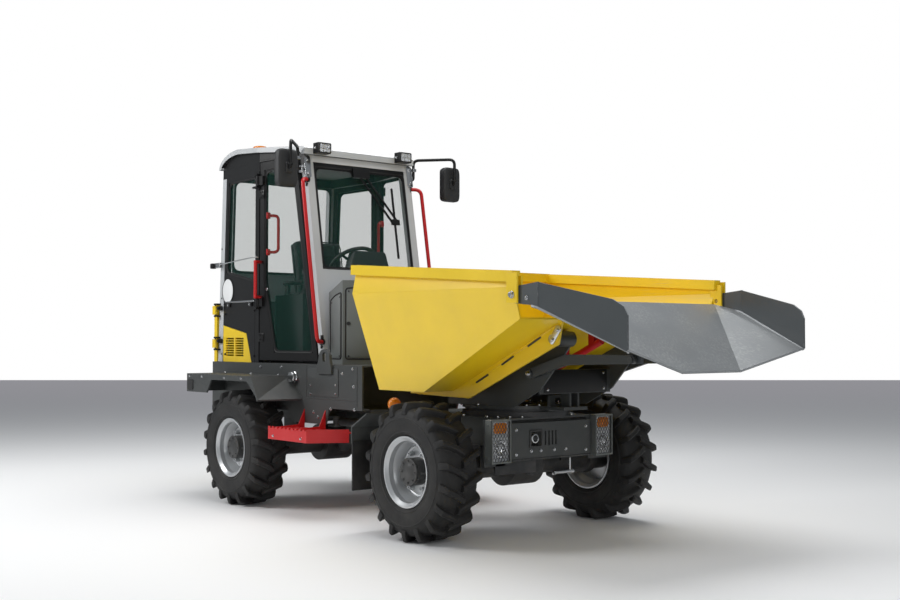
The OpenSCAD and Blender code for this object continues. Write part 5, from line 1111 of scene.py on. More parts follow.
def cushion(name, low, high, matrix, channels):
    """A padded block: remeshed, blown up by cloth, held to a small move, then pressed in along channels."""
    start = bmesh.new()
    block(start, low, high, CUSHION_EDGE, 4)
    mesh = bpy.data.meshes.new(name)
    start.to_mesh(mesh)
    start.free()
    made = placed(name, mesh)
    bpy.context.view_layer.objects.active = made
    remesh = made.modifiers.new("even", "REMESH")
    remesh.mode, remesh.voxel_size = "VOXEL", CUSHION_VOXEL
    bpy.ops.object.modifier_apply(modifier="even")
    before = [v.co.copy() for v in made.data.vertices]
    after = blown_up(made)
    for vert, a, b in zip(made.data.vertices, before, after):
        move = b - a
        if move.length > CUSHION_MOVE:
            move = move.normalized() * CUSHION_MOVE
        place = a + move
        dent = sum(math.exp(-((place[axis] - at) / CHANNEL_WIDE) ** 2) for axis, at in channels)
        place.z -= CHANNEL_DEPTH * min(dent, 1) * (1 if place.z > (low[2] + high[2]) / 2 else 0)
        vert.co = matrix @ place
    made.data.shade_smooth()
    made.data.materials.clear()
    made.data.materials.append(materials["seat_cloth"])
    soft = made.modifiers.new("soft", "SUBSURF")
    soft.levels = soft.render_levels = 1
    bpy.ops.object.modifier_apply(modifier="soft")
    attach(made, "rear_frame")
    return made


print("a cushion's points move up to", CUSHION_MOVE, "m")

# %% [markdown]
# The seat has a lower cushion and a leaning back. Each could be modelled where it stands, but it is simpler
# to draw it flat with its stitched lines and then set it in its place, so one function makes both. The
# lower one replaces the solid seat.

# %% Seat cushions
SEAT_BACK_AT, SEAT_LEAN = (-1.612, 0, 1.540), math.atan2(0.09, 0.47)
UPRIGHT = Matrix(((0, 0, 1, 0), (0, 1, 0, 0), (1, 0, 0, 0), (0, 0, 0, 1)))
back_frame = Matrix.Translation(SEAT_BACK_AT) @ Matrix.Rotation(-SEAT_LEAN, 4, "Y") @ UPRIGHT
LOWER_PAD = ((-1.598, -0.226, 1.440), (-1.152, 0.226, 1.528))
LOWER_LINES = [(1, -0.13), (1, 0.13), (0, -1.30), (0, -1.44)]
BACK_PAD = ((0.008, -0.222, 0.012), (0.462, 0.222, 0.106))
BACK_LINES = [(1, -0.13), (1, 0.13), (0, 0.16), (0, 0.31)]
bottom = cushion("seat_cushion", *LOWER_PAD, Matrix.Identity(4), LOWER_LINES)
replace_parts(bottom, "seat")
rest = cushion("seat_back", *BACK_PAD, back_frame, BACK_LINES)
print("seat cushions:", len(bottom.data.polygons), "faces on the lower one")

# %% [markdown]
# Piping hides the seam at a cushion's edge. A curve could be drawn by hand, but a cord fitted to the
# cushion's own points keeps to its edge. A hard base with a folded gaiter, two knobs and a lap belt
# complete the seat.

# %% Piping, base and belt
PIPING_R, PIPING_CORNER, PIPING_SLICE = 0.0048, 0.055, 0.006
BOTTOM_PIPING, BACK_PIPING = (1.452, 1.514), (0.026, 0.090)


def pipe_round(target, pad, matrix, depth):
    """A cord of piping round a cushion at a depth in its own frame, fitted to the points it has there."""
    back = matrix.inverted()
    near = [p for p in (back @ v.co for v in pad.data.vertices) if abs(p.z - depth) < PIPING_SLICE]
    low_x, high_x = min(p.x for p in near), max(p.x for p in near)
    low_y, high_y = min(p.y for p in near), max(p.y for p in near)
    corners = [(low_x, low_y, depth), (high_x, low_y, depth), (high_x, high_y, depth),
               (low_x, high_y, depth)]
    tube(target, [matrix @ p for p in rounded(corners, PIPING_CORNER, 8, True)], PIPING_R, 8, closed=True)


trim, base, belt, buckle = bmesh.new(), bmesh.new(), bmesh.new(), bmesh.new()
for depth in BOTTOM_PIPING:
    pipe_round(trim, bottom, Matrix.Identity(4), depth)
for depth in BACK_PIPING:
    pipe_round(trim, rest, back_frame, depth)
piece("seat_piping", trim, "rear_frame", "seat_cloth", "seat_vinyl")
SEAT_MIDDLE_X, GAITER_FOLDS, GAITER_LOW, GAITER_PITCH, GAITER_R = -1.375, 3, 1.408, 0.011, 0.0045
SEAT_BASE = ((-1.600, -0.225, 1.401), (-1.150, 0.225, 1.446))
BACK_SHELL = ((0.02, -0.205, -0.002), (0.44, 0.205, 0.020))
KNOB_X, KNOB_Y, KNOB_Z = -1.575, 0.218, 1.545
KNOB = [(0, 0), (0.032, 0), (0.032, 0.014), (0.026, 0.020), (0, 0.021)]
block(base, *SEAT_BASE, 0.008, 3)
for k in range(GAITER_FOLDS):
    fold = round_rect(0.233, 0.233, 0.03, 5, (SEAT_MIDDLE_X, 0))
    tube(base, [Vector((*p, GAITER_LOW + GAITER_PITCH * k)) for p in fold], GAITER_R, 8, closed=True)
block(base, *BACK_SHELL, 0.01, 3, back_frame)
for side in (-1, 1):
    lathe(base, KNOB, facing((KNOB_X, side * KNOB_Y, KNOB_Z), (0, side, 0)), 28)
piece("seat_base", base, "rear_frame", "cab_plastic", "seat_vinyl")
BELT_ROUTE = [(-1.56, 1.452), (-1.52, 1.510), (-1.46, 1.546), (-1.42, 1.552)]
BELT_HALF, BELT_T, BELT_Y, BELT_DRAW = 0.022, 0.004, 0.205, 0.02
BUCKLE = ((-1.445, -0.160, 1.550), (-1.385, -0.115, 1.572))
for side in (-1, 1):
    route = [Vector((x, side * (BELT_Y - BELT_DRAW * k), z)) for k, (x, z) in enumerate(BELT_ROUTE)]
    corners = [Vector((0, BELT_HALF * w, BELT_T * up)) for w, up in ((-1, 0), (1, 0), (1, 1), (-1, 1))]
    part = bmesh.new()
    rows = [[part.verts.new(p + corner) for corner in corners] for p in route]
    skin_rings(part, rows)
    merged(belt, part)
piece("seat_belt", belt, "rear_frame", "seat_cloth", "seat_vinyl")
block(buckle, *BUCKLE, 0.005, 3)
piece("belt_buckle", buckle, "rear_frame", "red_paint")
print("seat base, gaiter folds:", GAITER_FOLDS)

# %% [markdown]
# The driver's place has a display on a hump, switches, a joystick with a gaiter, an arm rest and pedals.
# They are seen through tinted glass, so plain blocks and turned shapes are enough, and the display stays
# blank.

# %% Controls
HUMP_BACK_X, HUMP_FACE_X, HUMP_Y, HUMP_DEEP, HUMP_CORNER = -1.035, -1.036, 0.05, 0.082, 0.025
DISPLAY_Z = 1.790
HUMP = trapezoid(0.205, 1.680, 0.140, 1.888)
SWITCHES, SWITCH_X, SWITCH_PITCH = 6, -1.300, 0.034
STICK_AT = (-1.270, -0.330, 1.556)
STICK_GAITER = [(0.046, 0.0), (0.046, 0.006), (0.038, 0.012), (0.041, 0.018), (0.031, 0.025), (0.034, 0.031),
                (0.024, 0.038), (0.027, 0.044), (0.016, 0.052), (0, 0.052)]
STICK_GRIP = [(0, 0.078), (0.014, 0.080), (0.019, 0.095), (0.0165, 0.120), (0.021, 0.150), (0.019, 0.165),
              (0.010, 0.172), (0, 0.173)]
STICK_ROD = [(0.005, 0.045), (0.005, 0.085), (0, 0.085)]
ARM_REST = ((-1.600, -0.335, 1.640), (-1.330, -0.275, 1.672))
REST_POST = ((-1.590, -0.320, 1.556), (-1.545, -0.290, 1.645))
PEDALS, PEDAL_RIBS, PEDAL_RIB_PITCH, PEDAL_ROD_R = (-0.12, 0.02, 0.15), 4, 0.024, 0.007
PEDAL_ROD = [(-0.976, 1.200), (-0.930, 1.120), (-0.915, 1.062)]
dash, screens, soft_parts, metal_parts = bmesh.new(), bmesh.new(), bmesh.new(), bmesh.new()
plate(dash, rounded(HUMP, HUMP_CORNER, 6, True), HUMP_DEEP, looking_ahead((HUMP_BACK_X, HUMP_Y, 0)), 0.004)
hood_face = looking_back((HUMP_FACE_X, HUMP_Y, DISPLAY_Z))
display = round_rect(0.098, 0.045, 0.008, 4)
plate(dash, round_rect(0.115, 0.058, 0.016), 0.006, hood_face, 0.0015, holes=[display])
plate(screens, display, 0.003, hood_face)
for k in range(SWITCHES):
    x = SWITCH_X - SWITCH_PITCH * k
    block(dash, (x, -0.395, 1.560), (x + 0.026, -0.375, 1.572), 0.003)
stick_at = Matrix.Translation(STICK_AT)
lathe(soft_parts, STICK_GAITER, stick_at, 32)
lathe(metal_parts, STICK_ROD, stick_at, 12)
lathe(soft_parts, STICK_GRIP, stick_at, 24)
block(soft_parts, *ARM_REST, 0.014, 4)
block(soft_parts, *REST_POST, 0.008, 3)
for y in PEDALS:
    block(soft_parts, (-0.985, y - 0.035, 1.135), (-0.975, y + 0.035, 1.245), 0.004, 2)
    for k in range(PEDAL_RIBS):
        low = 1.148 + PEDAL_RIB_PITCH * k
        block(soft_parts, (-0.990, y - 0.030, low), (-0.984, y + 0.030, low + 0.010), 0.002, 1)
    tube(metal_parts, [Vector((x, y, z)) for x, z in PEDAL_ROD], PEDAL_ROD_R, 8)
piece("dash_hood", dash, "rear_frame", "cab_plastic")
piece("dash_screen", screens, "rear_frame", "black_panel")
piece("stick_and_rests", soft_parts, "rear_frame", "cab_plastic", "seat_vinyl")
piece("control_rods", metal_parts, "rear_frame", "bright_steel")
print("controls: display, joystick, rests and pedals")

# %% [markdown]
# Each door has a red pull inside, bent from tube like the hand rails. It is drawn in the door's flat frame
# and rides on the door, so one row of points serves both doors.

# %% Door pulls
PULL = [(0.070, 1.885, -0.030), (0.125, 1.885, -0.085), (0.125, 2.165, -0.085), (0.070, 2.165, -0.030)]
PULL_R, PULL_BEND, PULL_FOOT = 0.0115, 0.035, (0.034, 0.034, 0.050)
for side, body in DOORS.items():
    pull = bmesh.new()
    tube(pull, [door_plane(side) @ p for p in rounded(PULL, PULL_BEND, 8)], PULL_R, 12)
    for u, z, out in (PULL[0], PULL[-1]):
        crowned_shell(pull, door_plane(side) @ Vector((u, z, out + 0.004)), PULL_FOOT)
    piece("inner_pull_" + body, pull, body, "red_paint")
print("door pulls:", len(DOORS))

# %% [markdown]
# The side sheets have hinges, latches, a bright strip over the engine cover and a stay rod. The right side
# has a round sign, which stays blank. Each is a plate or a turned part set in the sheet's own flat frame,
# so one set of numbers serves both sides.

# %% Side sheets
SIGN_AT = (0.177, 1.606, 0.0005)
SIGN_DISC = [(0, 0.003), (0.092, 0.003), (0.096, 0.002), (0.096, 0.0)]
SIGN_RING = [(0.0965, 0.0), (0.1005, 0.0), (0.1005, 0.0045), (0.0955, 0.0045), (0.0955, 0.003)]
LOCK_DISC = [(0, 0), (0.011, 0), (0.011, 0.003), (0.004, 0.003), (0.004, 0.001), (0, 0.001)]
HINGE_KNOB = [(0, 0), (0.013, 0), (0.013, 0.014), (0.010, 0.018), (0, 0.018)]
SHEET_SCREW = [(0, 0), (0.007, 0), (0.0055, 0.0025), (0, 0.003)]
STRIP = ((0.14, 1.509, 0.001), (0.645, 1.522, 0.006))
STAY_BRACKET = ((-0.024, 1.798, 0.001), (0.082, 1.838, 0.034))
STAY_R, STAY_ROUTE = 0.0042, [(-0.035, 1.818, 0.030), (0.690, 1.850, 0.030), (0.700, 1.850, -0.004)]
STAY_CAP_AT, STAY_CAP = (-0.040, 1.816, 0.030), (0.044, 0.040, 0.044)
LOCKS_U, HINGES_Z = (0.20, 0.58), (1.205, 1.470)
SHEET_BOLTS = [(0.135, 1.10), (0.135, 1.42), (0.640, 1.09), (0.640, 1.44)]
SHEET_SCREWS = [(0.06, 1.10), (0.06, 1.55), (0.06, 1.95), (0.70, 1.10), (0.70, 1.55)]
black_bits, bright_bits, sign = bmesh.new(), bmesh.new(), bmesh.new()
for side in (-1, 1):
    at = side_plane(side)
    outwards = at.to_3x3() @ Vector((0, 0, 1))
    block(bright_bits, *STRIP, 0.002, 2, at)
    for u in LOCKS_U:
        block(black_bits, (u - 0.030, 1.475, 0.0005), (u + 0.030, 1.507, 0.013), 0.004, 3, at)
        lathe(bright_bits, LOCK_DISC, at @ Matrix.Translation((u, 1.491, 0.0125)), 24)
    for start, end in zip(STAY_ROUTE, STAY_ROUTE[1:]):
        tube(bright_bits, [at @ Vector(start), at @ Vector(end)], STAY_R, 10)
    crowned_shell(black_bits, at @ Vector(STAY_CAP_AT), STAY_CAP)
    block(bright_bits, *STAY_BRACKET, 0.004, 2, at)
    for z in HINGES_Z:
        block(black_bits, (0.030, z - 0.018, 0.0005), (0.082, z + 0.018, 0.016), 0.005, 3, at)
        lathe(black_bits, HINGE_KNOB, at @ Matrix.Translation((0.045, z, 0.014)), 20)
    for u, z in SHEET_BOLTS:
        bolt(black_bits, at @ Vector((u, z, 0.0005)), outwards, 0.016)
    for u, z in SHEET_SCREWS:
        lathe(black_bits, SHEET_SCREW, at @ Matrix.Translation((u, z, 0.0)), 16)
sign_at = side_plane(-1) @ Matrix.Translation(SIGN_AT)
lathe(sign, SIGN_DISC, sign_at, 64)
lathe(black_bits, SIGN_RING, sign_at, 64)
piece("side_sign", sign, "rear_frame", "cab_grey", "sign_white")
piece("side_latches", black_bits, "rear_frame", "black_panel")
piece("side_strips", bright_bits, "rear_frame", "bright_steel")
print("sign, strips and latches set")

# %% [markdown]
# Each door hangs on two hinges with bolted covers and has a key lock. The covers could be part of the solid
# door, but they are small, so they are added here as blocks in the door's flat frame and ride on the door.

# %% Door fittings
DOOR_HINGES_Z, KEY_AT = (1.235, 2.330), (0.100, 1.600, 0.0005)
KEY_DISC = [(0, 0), (0.012, 0), (0.012, 0.004), (0.010, 0.006), (0.003, 0.006), (0.003, 0.004), (0, 0.004)]
for side, body in DOORS.items():
    at = door_plane(side)
    outwards = at.to_3x3() @ Vector((0, 0, 1))
    fittings, keys = bmesh.new(), bmesh.new()
    for z in DOOR_HINGES_Z:
        block(fittings, (-0.004, z - 0.032, 0.0005), (0.062, z + 0.032, 0.006), 0.0025, 2, at)
        for u in (0.020, 0.046):
            for up in (-0.018, 0.018):
                bolt(fittings, at @ Vector((u, z + up, 0.006)), outwards, 0.013)
    lathe(keys, KEY_DISC, at @ Matrix.Translation(KEY_AT), 24)
    piece("door_fittings_" + body, fittings, body, "black_panel")
    piece("door_key_" + body, keys, body, "bright_steel")
print("hinge covers:", len(DOORS) * len(DOOR_HINGES_Z))

# %% [markdown]
# Wire mesh before the head lamps keeps stones off the lenses. A plate with many holes could stand for it,
# but crossed wires that are clipped to a rectangle are lighter and rounder.

# %% Wire mesh
WIRE_STEP, WIRE_R, WIRE_SLOPE, WIRE_ROWS, WIRE_LEAST, WIRE_OUT = 0.036, 0.0017, 1.55, 16, 0.004, 0.003


def clipped(slope, shift, half_wide, half_tall):
    """The ends of the line v = slope * u + shift in a rectangle about zero, or an empty row."""
    found = [(u, slope * u + shift) for u in (-half_wide, half_wide) if abs(slope * u + shift) <= half_tall]
    found += [((v - shift) / slope, v) for v in (-half_tall, half_tall)
              if abs((v - shift) / slope) < half_wide]
    return found[:2] if len(found) > 1 else []


def wire_mesh(target, face, half_wide, half_tall):
    """Crossed wires in a rectangle, in a flat frame."""
    for slope in (-WIRE_SLOPE, WIRE_SLOPE):
        for k in range(-WIRE_ROWS, WIRE_ROWS + 1):
            flat_ends = clipped(slope, k * WIRE_STEP, half_wide, half_tall)
            ends = [face @ Vector((u, v, WIRE_OUT)) for u, v in flat_ends]
            if ends and (ends[0] - ends[1]).length > WIRE_LEAST:
                tube(target, ends, WIRE_R, 6)


print("wires", WIRE_STEP, "m apart in height")

# %% [markdown]
# A head lamp is a turned reflector under a clear lens, with an amber turn lamp above it. Its box is drawn
# from a front plate, a back and two walls, because a closed block would hide the reflector. Lamp and guard
# replace their plain solids.

# %% Head lamps and guards
LAMP_Y, LAMP_Z, LAMP_HALF, LAMP_HALF_TALL, LAMP_BACK, LAMP_FRONT = 0.443, 0.603, 0.068, 0.131, 1.040, 1.090
LAMP_PLATE, LAMP_WALL, LAMP_HOLE_R, BOWL_V, TURN_V = 0.006, 0.004, 0.056, -0.045, 0.081
LAMP_BOWL = [(0.056, 0.004), (0.054, -0.004), (0.046, -0.018), (0.032, -0.028), (0.016, -0.032),
             (0.0085, -0.032), (0.0085, -0.012), (0.006, -0.008), (0, -0.007)]
TURN_BOWL = [(0.030, 0.002), (0.026, -0.012), (0.012, -0.020), (0, -0.021)]
LAMP_LENS = [(0.0565, 0.0045), (0.052, 0.0056), (0.030, 0.0074), (0, 0.0080)]
GUARD_HALF, GUARD_FACE, GUARD_FRONT = 0.080, 1.096, 1.102
GUARD_WALL, GUARD_EDGE, GUARD_PLATE = 0.005, 0.010, 0.006
GUARD_BOLT_X, GUARD_BOLT_UP, GUARD_BOLT = 1.070, 0.101, 0.014
shells, bowls, lenses, ambers, guards, wires = (bmesh.new() for _ in range(6))
for side in (-1, 1):
    y = side * LAMP_Y
    low_z, high_z = LAMP_Z - LAMP_HALF_TALL, LAMP_Z + LAMP_HALF_TALL
    at = looking_ahead((LAMP_FRONT - LAMP_PLATE, y, LAMP_Z))
    holes = [ring_points(LAMP_HOLE_R, 40, 0, BOWL_V), round_rect(0.052, 0.031, 0.02, 6, (0, TURN_V))]
    plate(shells, round_rect(LAMP_HALF, LAMP_HALF_TALL, 0.016), LAMP_PLATE, at, 0.001, holes=holes)
    block(shells, (LAMP_BACK, y - LAMP_HALF, low_z), (LAMP_BACK + 0.012, y + LAMP_HALF, high_z), 0.003)
    for wall in (y - LAMP_HALF, y + LAMP_HALF - LAMP_WALL):
        block(shells, (LAMP_BACK, wall, low_z), (LAMP_FRONT - LAMP_WALL, wall + LAMP_WALL, high_z), 0.001, 1)
    lathe(bowls, LAMP_BOWL, at @ Matrix.Translation((0, BOWL_V, 0)), 40)
    lathe(bowls, TURN_BOWL, at @ Matrix.Translation((0, TURN_V, 0)), 28)
    lathe(lenses, LAMP_LENS, at @ Matrix.Translation((0, BOWL_V, 0)), 40)
    amber_at = at @ Matrix.Translation((0, 0, 0.002))
    plate(ambers, round_rect(0.0525, 0.0315, 0.02, 6, (0, TURN_V)), 0.0045, amber_at, 0.001)
    for wall in (y - GUARD_HALF, y + GUARD_HALF - GUARD_WALL):
        block(guards, (LAMP_BACK, wall, low_z), (GUARD_FRONT, wall + GUARD_WALL, high_z), 0.0015, 1)
    face = looking_ahead((GUARD_FACE, y, LAMP_Z))
    opening = (GUARD_HALF - GUARD_EDGE, LAMP_HALF_TALL - GUARD_EDGE)
    plate(guards, rect(GUARD_HALF, LAMP_HALF_TALL), GUARD_PLATE, face, holes=[rect(*opening)])
    wire_mesh(wires, face, *opening)
    for up in (-GUARD_BOLT_UP, GUARD_BOLT_UP):
        bolt(guards, (GUARD_BOLT_X, y + side * GUARD_HALF, LAMP_Z + up), (0, side, 0), GUARD_BOLT)
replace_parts(piece("lamp_shells", shells, "front_frame", "lamp_clear", "rim_silver"), "headlamps")
piece("lamp_bowls", bowls, "front_frame", "rim_silver", "reflector")
piece("lamp_lenses", lenses, "front_frame", "lamp_clear")
piece("turn_lenses", ambers, "front_frame", "lamp_amber")
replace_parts(piece("lamp_guard_frames", guards, "front_frame", "housing_grey"), "lamp_guards")
piece("lamp_guard_wires", wires, "front_frame", "dark_iron", "hub_black")
print("head lamps: 2, each", 2 * LAMP_HALF_TALL, "m tall")

# %% [markdown]
# The bumper carries a socket, bolts and a pull pin, and a rough guard plate hangs below it. A bump could
# suggest them, but their shadows show, so each is a small mesh.

# %% Bumper
BUMPER_X, BUMPER_BOLT, POCKET_Y, POCKET_Z = 1.0745, 0.017, -0.135, 0.605
SOCKET = [(0.030, -0.030), (0.030, -0.006), (0.027, -0.004), (0.021, -0.004), (0.021, -0.030)]
BUMPER_BOLTS = [(-0.175, 0.530), (-0.095, 0.530), (0.02, 0.530), (0.12, 0.530), (-0.30, 0.665),
                (-0.30, 0.515), (0.30, 0.665), (0.30, 0.515)]
EDGE_BAR, EDGE_BAR_R = [Vector((BUMPER_X - 0.003, y, 0.484)) for y in (-0.335, 0.335)], 0.007
SOCKET_FLOOR = ((-0.036, -0.036, -0.034), (0.036, 0.036, -0.028))
LOW_PLATE = ((1.030, -0.440, 0.395), (1.040, -0.105, 0.500))
GUARD_RIBS = (-0.40, -0.27, -0.14)
PIN_HANGER, PIN_HANGER_R = [(1.030, 0.192, 0.500), (1.040, 0.192, 0.470), (1.040, 0.192, 0.385)], 0.0065
PIN_AT = (1.040, 0.216, 0.380)
PULL_PIN = [(0, 0), (0.016, 0.0), (0.016, 0.020), (0.011, 0.024), (0.011, 0.150), (0.015, 0.154),
            (0.015, 0.172), (0, 0.176)]
trim, bright, low_guard = bmesh.new(), bmesh.new(), bmesh.new()
pocket = looking_ahead((BUMPER_X, POCKET_Y, POCKET_Z))
plate(trim, round_rect(0.056, 0.056, 0.010, 4), 0.005, pocket, 0.001,
      holes=[round_rect(0.044, 0.044, 0.006, 4)])
lathe(bright, SOCKET, pocket, 28)
block(trim, *SOCKET_FLOOR, 0.003, 2, pocket)
for y, z in BUMPER_BOLTS:
    bolt(bright, (BUMPER_X, y, z), (1, 0, 0), BUMPER_BOLT)
tube(trim, EDGE_BAR, EDGE_BAR_R, 8)
block(low_guard, *LOW_PLATE, 0.003)
for y in GUARD_RIBS:
    bolt(low_guard, (1.040, y, 0.475), (1, 0, 0), 0.015)
    block(low_guard, (0.985, y - 0.006, 0.420), (1.032, y + 0.006, 0.500), 0.002)
tube(bright, rounded(PIN_HANGER, 0.02), PIN_HANGER_R, 10)
lathe(bright, PULL_PIN, facing(PIN_AT, (0, -1, 0)), 24)
piece("bumper_trim", trim, "front_frame", "dark_iron", "hub_black")
piece("bumper_bolts", bright, "front_frame", "bright_steel")
piece("low_guard", low_guard, "front_frame", "dark_iron")
print("bumper bolts:", len(BUMPER_BOLTS))

# %% [markdown]
# The turning console has a cover panel, and the ring it turns on is held by a circle of bright nuts. An
# array modifier could set them, but a loop can also leave out those too far to the front or the side. Each
# piece rides on its own body, so the console parts turn.

# %% Ring and console
RING_X, RING_TOP, RING_FRONT_X, RING_HALF = 0.740, 0.7352, 1.06, 0.35
RING_BOLTS, RING_BOLT_R, RING_BOLT = 30, 0.362, 0.020
COVER_X, COVER_T, COVER_BOLT_Y, COVER_BOLTS_Z, COVER_BOLT = 1.2875, 0.004, 0.24, (0.915, 1.010), 0.013
DECK_BOLTS, DECK_BOLT_R, DECK_TOP, DECK_BOLT = 24, 0.318, 0.8053, 0.018
TIP_PIN_X, TIP_PIN_Y, TIP_PIN_Z, TIP_PIN_BOLT = 1.251, 0.3645, 1.015, 0.026
nuts, cover, cover_bolts = bmesh.new(), bmesh.new(), bmesh.new()
for x, y in ring_points(RING_BOLT_R, RING_BOLTS, RING_X, 0):
    if x < RING_FRONT_X and abs(y) < RING_HALF:
        bolt(nuts, (x, y, RING_TOP), (0, 0, 1), RING_BOLT)
plate(cover, round_rect(0.270, 0.070, 0.008, 4, (0, 0.963)), COVER_T, looking_ahead((COVER_X, 0, 0)), 0.001)
for side in (-1, 1):
    for z in COVER_BOLTS_Z:
        bolt(cover_bolts, (COVER_X + COVER_T, side * COVER_BOLT_Y, z), (1, 0, 0), COVER_BOLT)
    bolt(cover_bolts, (TIP_PIN_X, side * TIP_PIN_Y, TIP_PIN_Z), (0, side, 0), TIP_PIN_BOLT)
for x, y in ring_points(DECK_BOLT_R, DECK_BOLTS, RING_X, 0):
    bolt(cover_bolts, (x, y, DECK_TOP), (0, 0, 1), DECK_BOLT)
piece("ring_nuts", nuts, "front_frame", "bright_steel")
piece("console_cover", cover, "console", "frame_grey", "black_panel")
piece("console_bolts", cover_bolts, "console", "bright_steel")
print("ring nuts and console cover set")

# %% [markdown]
# The frame is a welded and bolted box, so its sides show rows of bolts, a filler cap and seams between
# plates. The steps have raised grips that let mud fall away from a boot. A bump could suggest the grips,
# but they throw small shadows, so each is a turned ring, and rubber pads guard the fender corners.

# %% Chassis, steps and fenders
SIDE_Y, SIDE_BOLT, SEAM_WELD_R = 0.5903, 0.018, 0.0028
SIDE_BOLTS = [(-0.383, 0.983), (-0.258, 1.017), (-0.244, 0.896), (-0.784, 0.892), (-0.460, 0.901),
              (-0.783, 0.831), (-0.460, 0.842), (-0.524, 0.732), (-0.236, 0.741), (-1.485, 1.011),
              (-1.185, 1.012), (-0.745, 0.701), (-0.685, 0.668)]
SEAMS = [((-0.205, 1.030), (-0.205, 0.760)), ((-0.840, 1.030), (-0.840, 0.800)),
         ((-0.840, 0.800), (-0.205, 0.800))]
GRIP = [(0.017, 0), (0.017, 0.005), (0.014, 0.006), (0.012, 0.005), (0.012, 0)]
GRIP_COLS, GRIP_ROWS, GRIP_PITCH_X, GRIP_PITCH_Y = 7, 3, 0.068, 0.075
GRIP_X, GRIP_Y, GRIP_Z = -0.835, 0.665, 0.5882
OUTER_BOLTS = [(-0.80, 0.8883, 0.545, 0.016), (-0.44, 0.8883, 0.545, 0.016), (-2.00, 0.9203, 0.935, 0.015),
               (-1.80, 0.9203, 0.935, 0.015), (-1.45, 0.9203, 0.935, 0.015), (-1.20, 0.9203, 0.935, 0.015)]
FENDER_TOP_BOLTS, FENDER_BOLT_Y, FENDER_TOP, FENDER_BOLT = (-1.95, -1.55, -1.15), 0.64, 0.9553, 0.016
PADS = [((-1.985, 0.9215, 0.870), (0.090, 0.012, 0.080)), ((-2.047, 0.760, 0.905), (0.016, 0.150, 0.055))]
FILLER_AT, FILLER_RIBS = (-1.0, -SIDE_Y, 0.943), 20
FILLER = [(0, 0), (0.046, 0), (0.046, 0.010), (0.040, 0.014), (0.040, 0.034), (0.036, 0.038), (0.018, 0.039),
          (0, 0.0385)]


def looking_aside(side, out):
    """A flat frame that faces one side of the machine: local X forwards, Y up."""
    return pane_frame((0, side * out, 0), (1, 0, 0), (0, 0, 1), (0, side, 0))


bolts, seams, caps, grips, pads = (bmesh.new() for _ in range(5))
for side in (-1, 1):
    for x, z in SIDE_BOLTS:
        bolt(bolts, (x, side * SIDE_Y, z), (0, side, 0), SIDE_BOLT)
    for route in SEAMS:
        tube(seams, [Vector((x, side * SIDE_Y, z)) for x, z in route], SEAM_WELD_R, 6)
    plate(seams, round_rect(0.195, 0.100, 0.02, 5, (-0.625, 0.915)), 0.004, looking_aside(side, SIDE_Y),
          0.001)
    for col in range(GRIP_COLS):
        for row in range(GRIP_ROWS):
            place = (GRIP_X + GRIP_PITCH_X * col, side * (GRIP_Y + GRIP_PITCH_Y * row), GRIP_Z)
            lathe(grips, GRIP, Matrix.Translation(place), 16)
    for x, y, z, size in OUTER_BOLTS:
        bolt(bolts, (x, side * y, z), (0, side, 0), size)
    for x in FENDER_TOP_BOLTS:
        bolt(bolts, (x, side * FENDER_BOLT_Y, FENDER_TOP), (0, 0, 1), FENDER_BOLT)
    for (x, y, z), size in PADS:
        crowned_shell(pads, (x, side * y, z), size)
filler_at = facing(FILLER_AT, (0, -1, 0))
lathe(caps, FILLER, filler_at, 40)
ribbed(caps, filler_at, FILLER_RIBS, (0.0395, -0.0025, 0.016), (0.0420, 0.0025, 0.033), 0.0008)
piece("chassis_bolts", bolts, "rear_frame", "bright_steel")
piece("chassis_seams", seams, "rear_frame", "frame_grey")
piece("filler_cap", caps, "rear_frame", "bright_steel")
piece("step_grips", grips, "rear_frame", "red_paint")
piece("fender_pads", pads, "rear_frame", "flap_rubber")
print("side bolts:", 2 * len(SIDE_BOLTS), "step grips:", 2 * GRIP_COLS * GRIP_ROWS)

# %% [markdown]
# Before the cab stands a grey box with hatches in its sides. A hatch is a flat panel with a black seal
# round it and a few screws, and the slanted ones have a quarter turn lock. The panel could be a line drawn
# in the finish, but the seal stands proud, so it is a bead as on the windows.

# %% Housing hatches
HATCH_Y, SLANT_X, SLANT_Y, SLANT_RUN, SLANT_RISE = 0.4503, -0.590, 0.450, 0.23, 0.215
SIDE_HATCH = [(-0.745, 1.075), (-0.602, 1.075), (-0.602, 1.560), (-0.690, 1.535), (-0.745, 1.500)]
SIDE_SCREWS = [(-0.725, 1.10), (-0.622, 1.10), (-0.725, 1.48), (-0.622, 1.52)]
SLANT_HATCH = [(0.018, 1.075), (0.296, 1.075), (0.296, 1.600), (0.018, 1.585)]
SLANT_SCREWS = [(0.045, 1.10), (0.270, 1.10), (0.045, 1.56), (0.270, 1.57)]
SCREW = [(0, 0.004), (0.007, 0.004), (0.006, 0.0065), (0, 0.007)]
TURN_LOCK = [(0, 0.004), (0.014, 0.004), (0.014, 0.008), (0.004, 0.008), (0.004, 0.006), (0, 0.006)]
SEAL_LIFT, SEAL_CORNER, SEAL_IN, SEAL_R = 0.001, 0.02, 0.004, 0.0048
PANEL_IN, PANEL_CORNER, PANEL_T = 0.012, 0.015, 0.004


def hatch(outline, flat, screw_places):
    """A panel with a seal round it and a screw at each place."""
    bead(seal, outline, flat, SEAL_LIFT, SEAL_CORNER, SEAL_IN, SEAL_R)
    plate(panel, rounded(drawn_in(outline, PANEL_IN), PANEL_CORNER, 5, True), PANEL_T, flat, 0.001)
    for u, v in screw_places:
        lathe(screws, SCREW, flat @ Matrix.Translation((u, v, 0)), 14)


